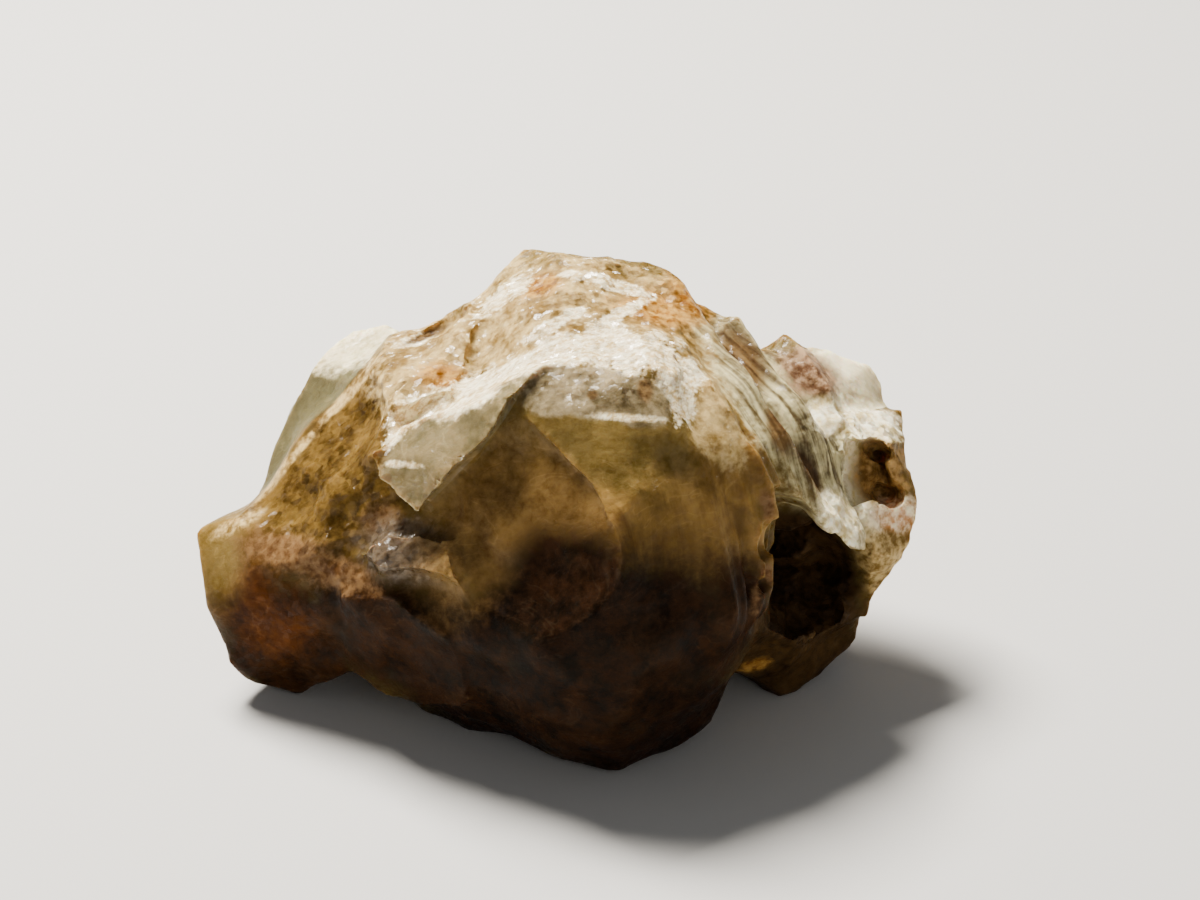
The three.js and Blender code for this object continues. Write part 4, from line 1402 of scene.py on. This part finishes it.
def crests(places, triangles):
    """How far each vertex stands out from its neighbours, from -1 in creases to 1 on sharp edges."""
    ends = np.concatenate([triangles[:, [0, 1]], triangles[:, [1, 2]], triangles[:, [2, 0]]])
    counts = np.bincount(ends[:, 0], minlength=len(places))[:, None]

    def neighbours_mean(values):
        parts = values[ends[:, 1]].T
        return np.stack([np.bincount(ends[:, 0], part, len(values)) for part in parts], axis=1) / counts

    a, b, c = (places[triangles[:, corner]] for corner in range(3))
    facing = np.cross(b - a, c - a)
    normals = np.zeros_like(places)
    for corner in range(3):
        for axis in range(3):
            normals[:, axis] += np.bincount(triangles[:, corner], facing[:, axis], len(places))
    normals /= np.linalg.norm(normals, axis=1, keepdims=True)
    smooth = places
    for _ in range(3):
        smooth = neighbours_mean(smooth)
    standing = np.einsum("ij,ij->i", places - smooth, normals)[:, None]
    standing = neighbours_mean(standing)[:, 0]
    strongest = 0.06  # mm
    return np.clip(standing / strongest, -1, 1)


def set_attribute(mesh, name, values):
    layer = mesh.attributes.new(name, "FLOAT", "POINT")
    layer.data.foreach_set("value", np.asarray(values, np.float32))


def zone_reach(shape, points, zone):
    """1 in the middle of a zone, 0 on its border and -1 well outside."""
    reach = patch_reach(points, zone.patches)
    if zone.form:
        reach = np.minimum(reach, shape.form_reach(points, zone.form))
    return np.clip(reach, -1, 1)


class STONE_OT_crystal(bpy.types.Operator):
    """Skins, grains and dresses the rough crystal, in place of its plain solid"""

    bl_idname = "stone.crystal"
    bl_label = "Crystal"
    bl_options = {"REGISTER", "UNDO"}

    def execute(self, context):
        sizes = context.scene.stone_sizes
        shape = Shape(sizes.small_chip_depth / MM, sizes.fine_rib_depth / MM)
        skin = Skin(shape.value, shape.low, shape.high, sizes.cell / MM)
        points, triangles = skin.mesh()

        mesh = bpy.data.meshes.new("rough_crystal")
        mesh.from_pydata((points + CENTRING) * MM, [], triangles)
        set_attribute(mesh, "grit", shape.roughness(points))
        set_attribute(mesh, "crest", crests(points, triangles))
        for name, zone in ZONES.items():
            set_attribute(mesh, name, zone_reach(shape, points, zone))
        piece = bpy.data.objects.new("rough_crystal", mesh)
        context.scene.collection.objects.link(piece)

        tree = grain_tree(stone_material(context.scene.stone_colours, sizes))
        modifier = piece.modifiers.new("Cleaved grain", "NODES")
        modifier.node_group = tree
        inputs = {
            "Grain size": sizes.grain_size,
            "Grain depth": sizes.grain_depth,
            "Seed": sizes.grain_seed,
        }
        for item in tree.interface.items_tree:
            if item.name in inputs:
                modifier[item.identifier] = inputs[item.name]
        context.view_layer.update()
        grained = bpy.data.meshes.new_from_object(piece.evaluated_get(context.evaluated_depsgraph_get()))
        piece.modifiers.clear()
        piece.data = grained
        bpy.data.meshes.remove(mesh)
        grained.name = "rough_crystal"
        grained.shade_smooth()
        sharp_angle = math.radians(38)
        grained.set_sharp_from_angle(angle=sharp_angle)

        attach(piece, BODY)
        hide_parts(NODE)
        return {"FINISHED"}


def area_light(scene, name, place, target, size, power, tint):
    """A square soft light at a place, turned to its target."""
    light = bpy.data.lights.new(name, "AREA")
    light.shape = "SQUARE"
    light.size = size
    light.energy = power
    light.color = tint
    lamp = bpy.data.objects.new(name, light)
    lamp.location = place
    lamp.rotation_euler = (Vector(target) - Vector(place)).to_track_quat("-Z", "Y").to_euler()
    scene.collection.objects.link(lamp)


class STONE_OT_studio(bpy.types.Operator):
    """Sets the pale floor, the soft lights and the camera"""

    bl_idname = "stone.studio"
    bl_label = "Studio"
    bl_options = {"REGISTER", "UNDO"}

    def execute(self, context):
        scene = context.scene
        self.add_floor(scene)
        self.add_lights(scene)
        self.add_camera(scene)
        return {"FINISHED"}

    def add_floor(self, scene):
        floor_radius = 0.6
        disc = bmesh.new()
        bmesh.ops.create_circle(disc, cap_ends=True, segments=64, radius=floor_radius)
        mesh = bpy.data.meshes.new("floor")
        disc.to_mesh(mesh)
        disc.free()
        material = bpy.data.materials.new("Pale floor")
        material.use_nodes = True
        shader = material.node_tree.nodes["Principled BSDF"]
        shader.inputs["Base Color"].default_value = (0.56, 0.55, 0.53, 1)
        shader.inputs["Roughness"].default_value = 0.8
        mesh.materials.append(material)
        floor = bpy.data.objects.new("floor", mesh)
        scene.collection.objects.link(floor)

    def add_lights(self, scene):
        world = bpy.data.worlds.new("Studio")
        world.use_nodes = True
        sky = world.node_tree.nodes["Background"]
        sky.inputs["Color"].default_value = (0.95, 0.97, 1.0, 1)
        sky.inputs["Strength"].default_value = 0.19
        scene.world = world
        middle = (0, 0, 0.008)
        behind_left = (-0.07, 0.09, 0.20)
        front_right = (0.10, -0.22, 0.12)
        area_light(scene, "key", behind_left, middle, size=0.08, power=2.6, tint=(1.0, 0.95, 0.87))
        area_light(scene, "fill", front_right, middle, size=0.14, power=0.08, tint=(1.0, 0.97, 0.93))

    def add_camera(self, scene):
        sensor = 36.0
        framed_width = 48.0  # mm of the view across at the aim
        lens = bpy.data.cameras.new("camera")
        lens.sensor_width = sensor
        lens.lens = sensor * EYE_DISTANCE / framed_width
        lens.clip_start = MM
        camera = bpy.data.objects.new("camera", lens)
        aim = Vector((AIM + CENTRING) * MM)
        way = Vector(TO_EYE)
        camera.location = aim + way * EYE_DISTANCE * MM
        camera.rotation_euler = way.to_track_quat("Z", "Y").to_euler()
        scene.collection.objects.link(camera)
        scene.camera = camera


class STONE_PT_panel(bpy.types.Panel):
    """The crystal's sizes, colours and steps, in the 3D view's sidebar"""

    bl_label = "Rough herderite crystal"
    bl_idname = "STONE_PT_panel"
    bl_space_type = "VIEW_3D"
    bl_region_type = "UI"
    bl_category = "Stone"

    def draw(self, context):
        layout = self.layout
        for operator in (STONE_OT_crystal, STONE_OT_studio):
            layout.operator(operator.bl_idname)
        for group in (context.scene.stone_sizes, context.scene.stone_colours):
            box = layout.box()
            for name in group.__annotations__:
                box.prop(group, name)


CLASSES = (StoneColours, StoneSizes, STONE_OT_crystal, STONE_OT_studio, STONE_PT_panel)


def register():
    for kind in CLASSES:
        bpy.utils.register_class(kind)
    bpy.types.Scene.stone_colours = PointerProperty(type=StoneColours)
    bpy.types.Scene.stone_sizes = PointerProperty(type=StoneSizes)


def unregister():
    del bpy.types.Scene.stone_sizes
    del bpy.types.Scene.stone_colours
    for kind in reversed(CLASSES):
        bpy.utils.unregister_class(kind)


def main():
    register()
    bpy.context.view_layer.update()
    bpy.ops.stone.crystal()
    bpy.ops.stone.studio()


if __name__ == "__main__":
    main()
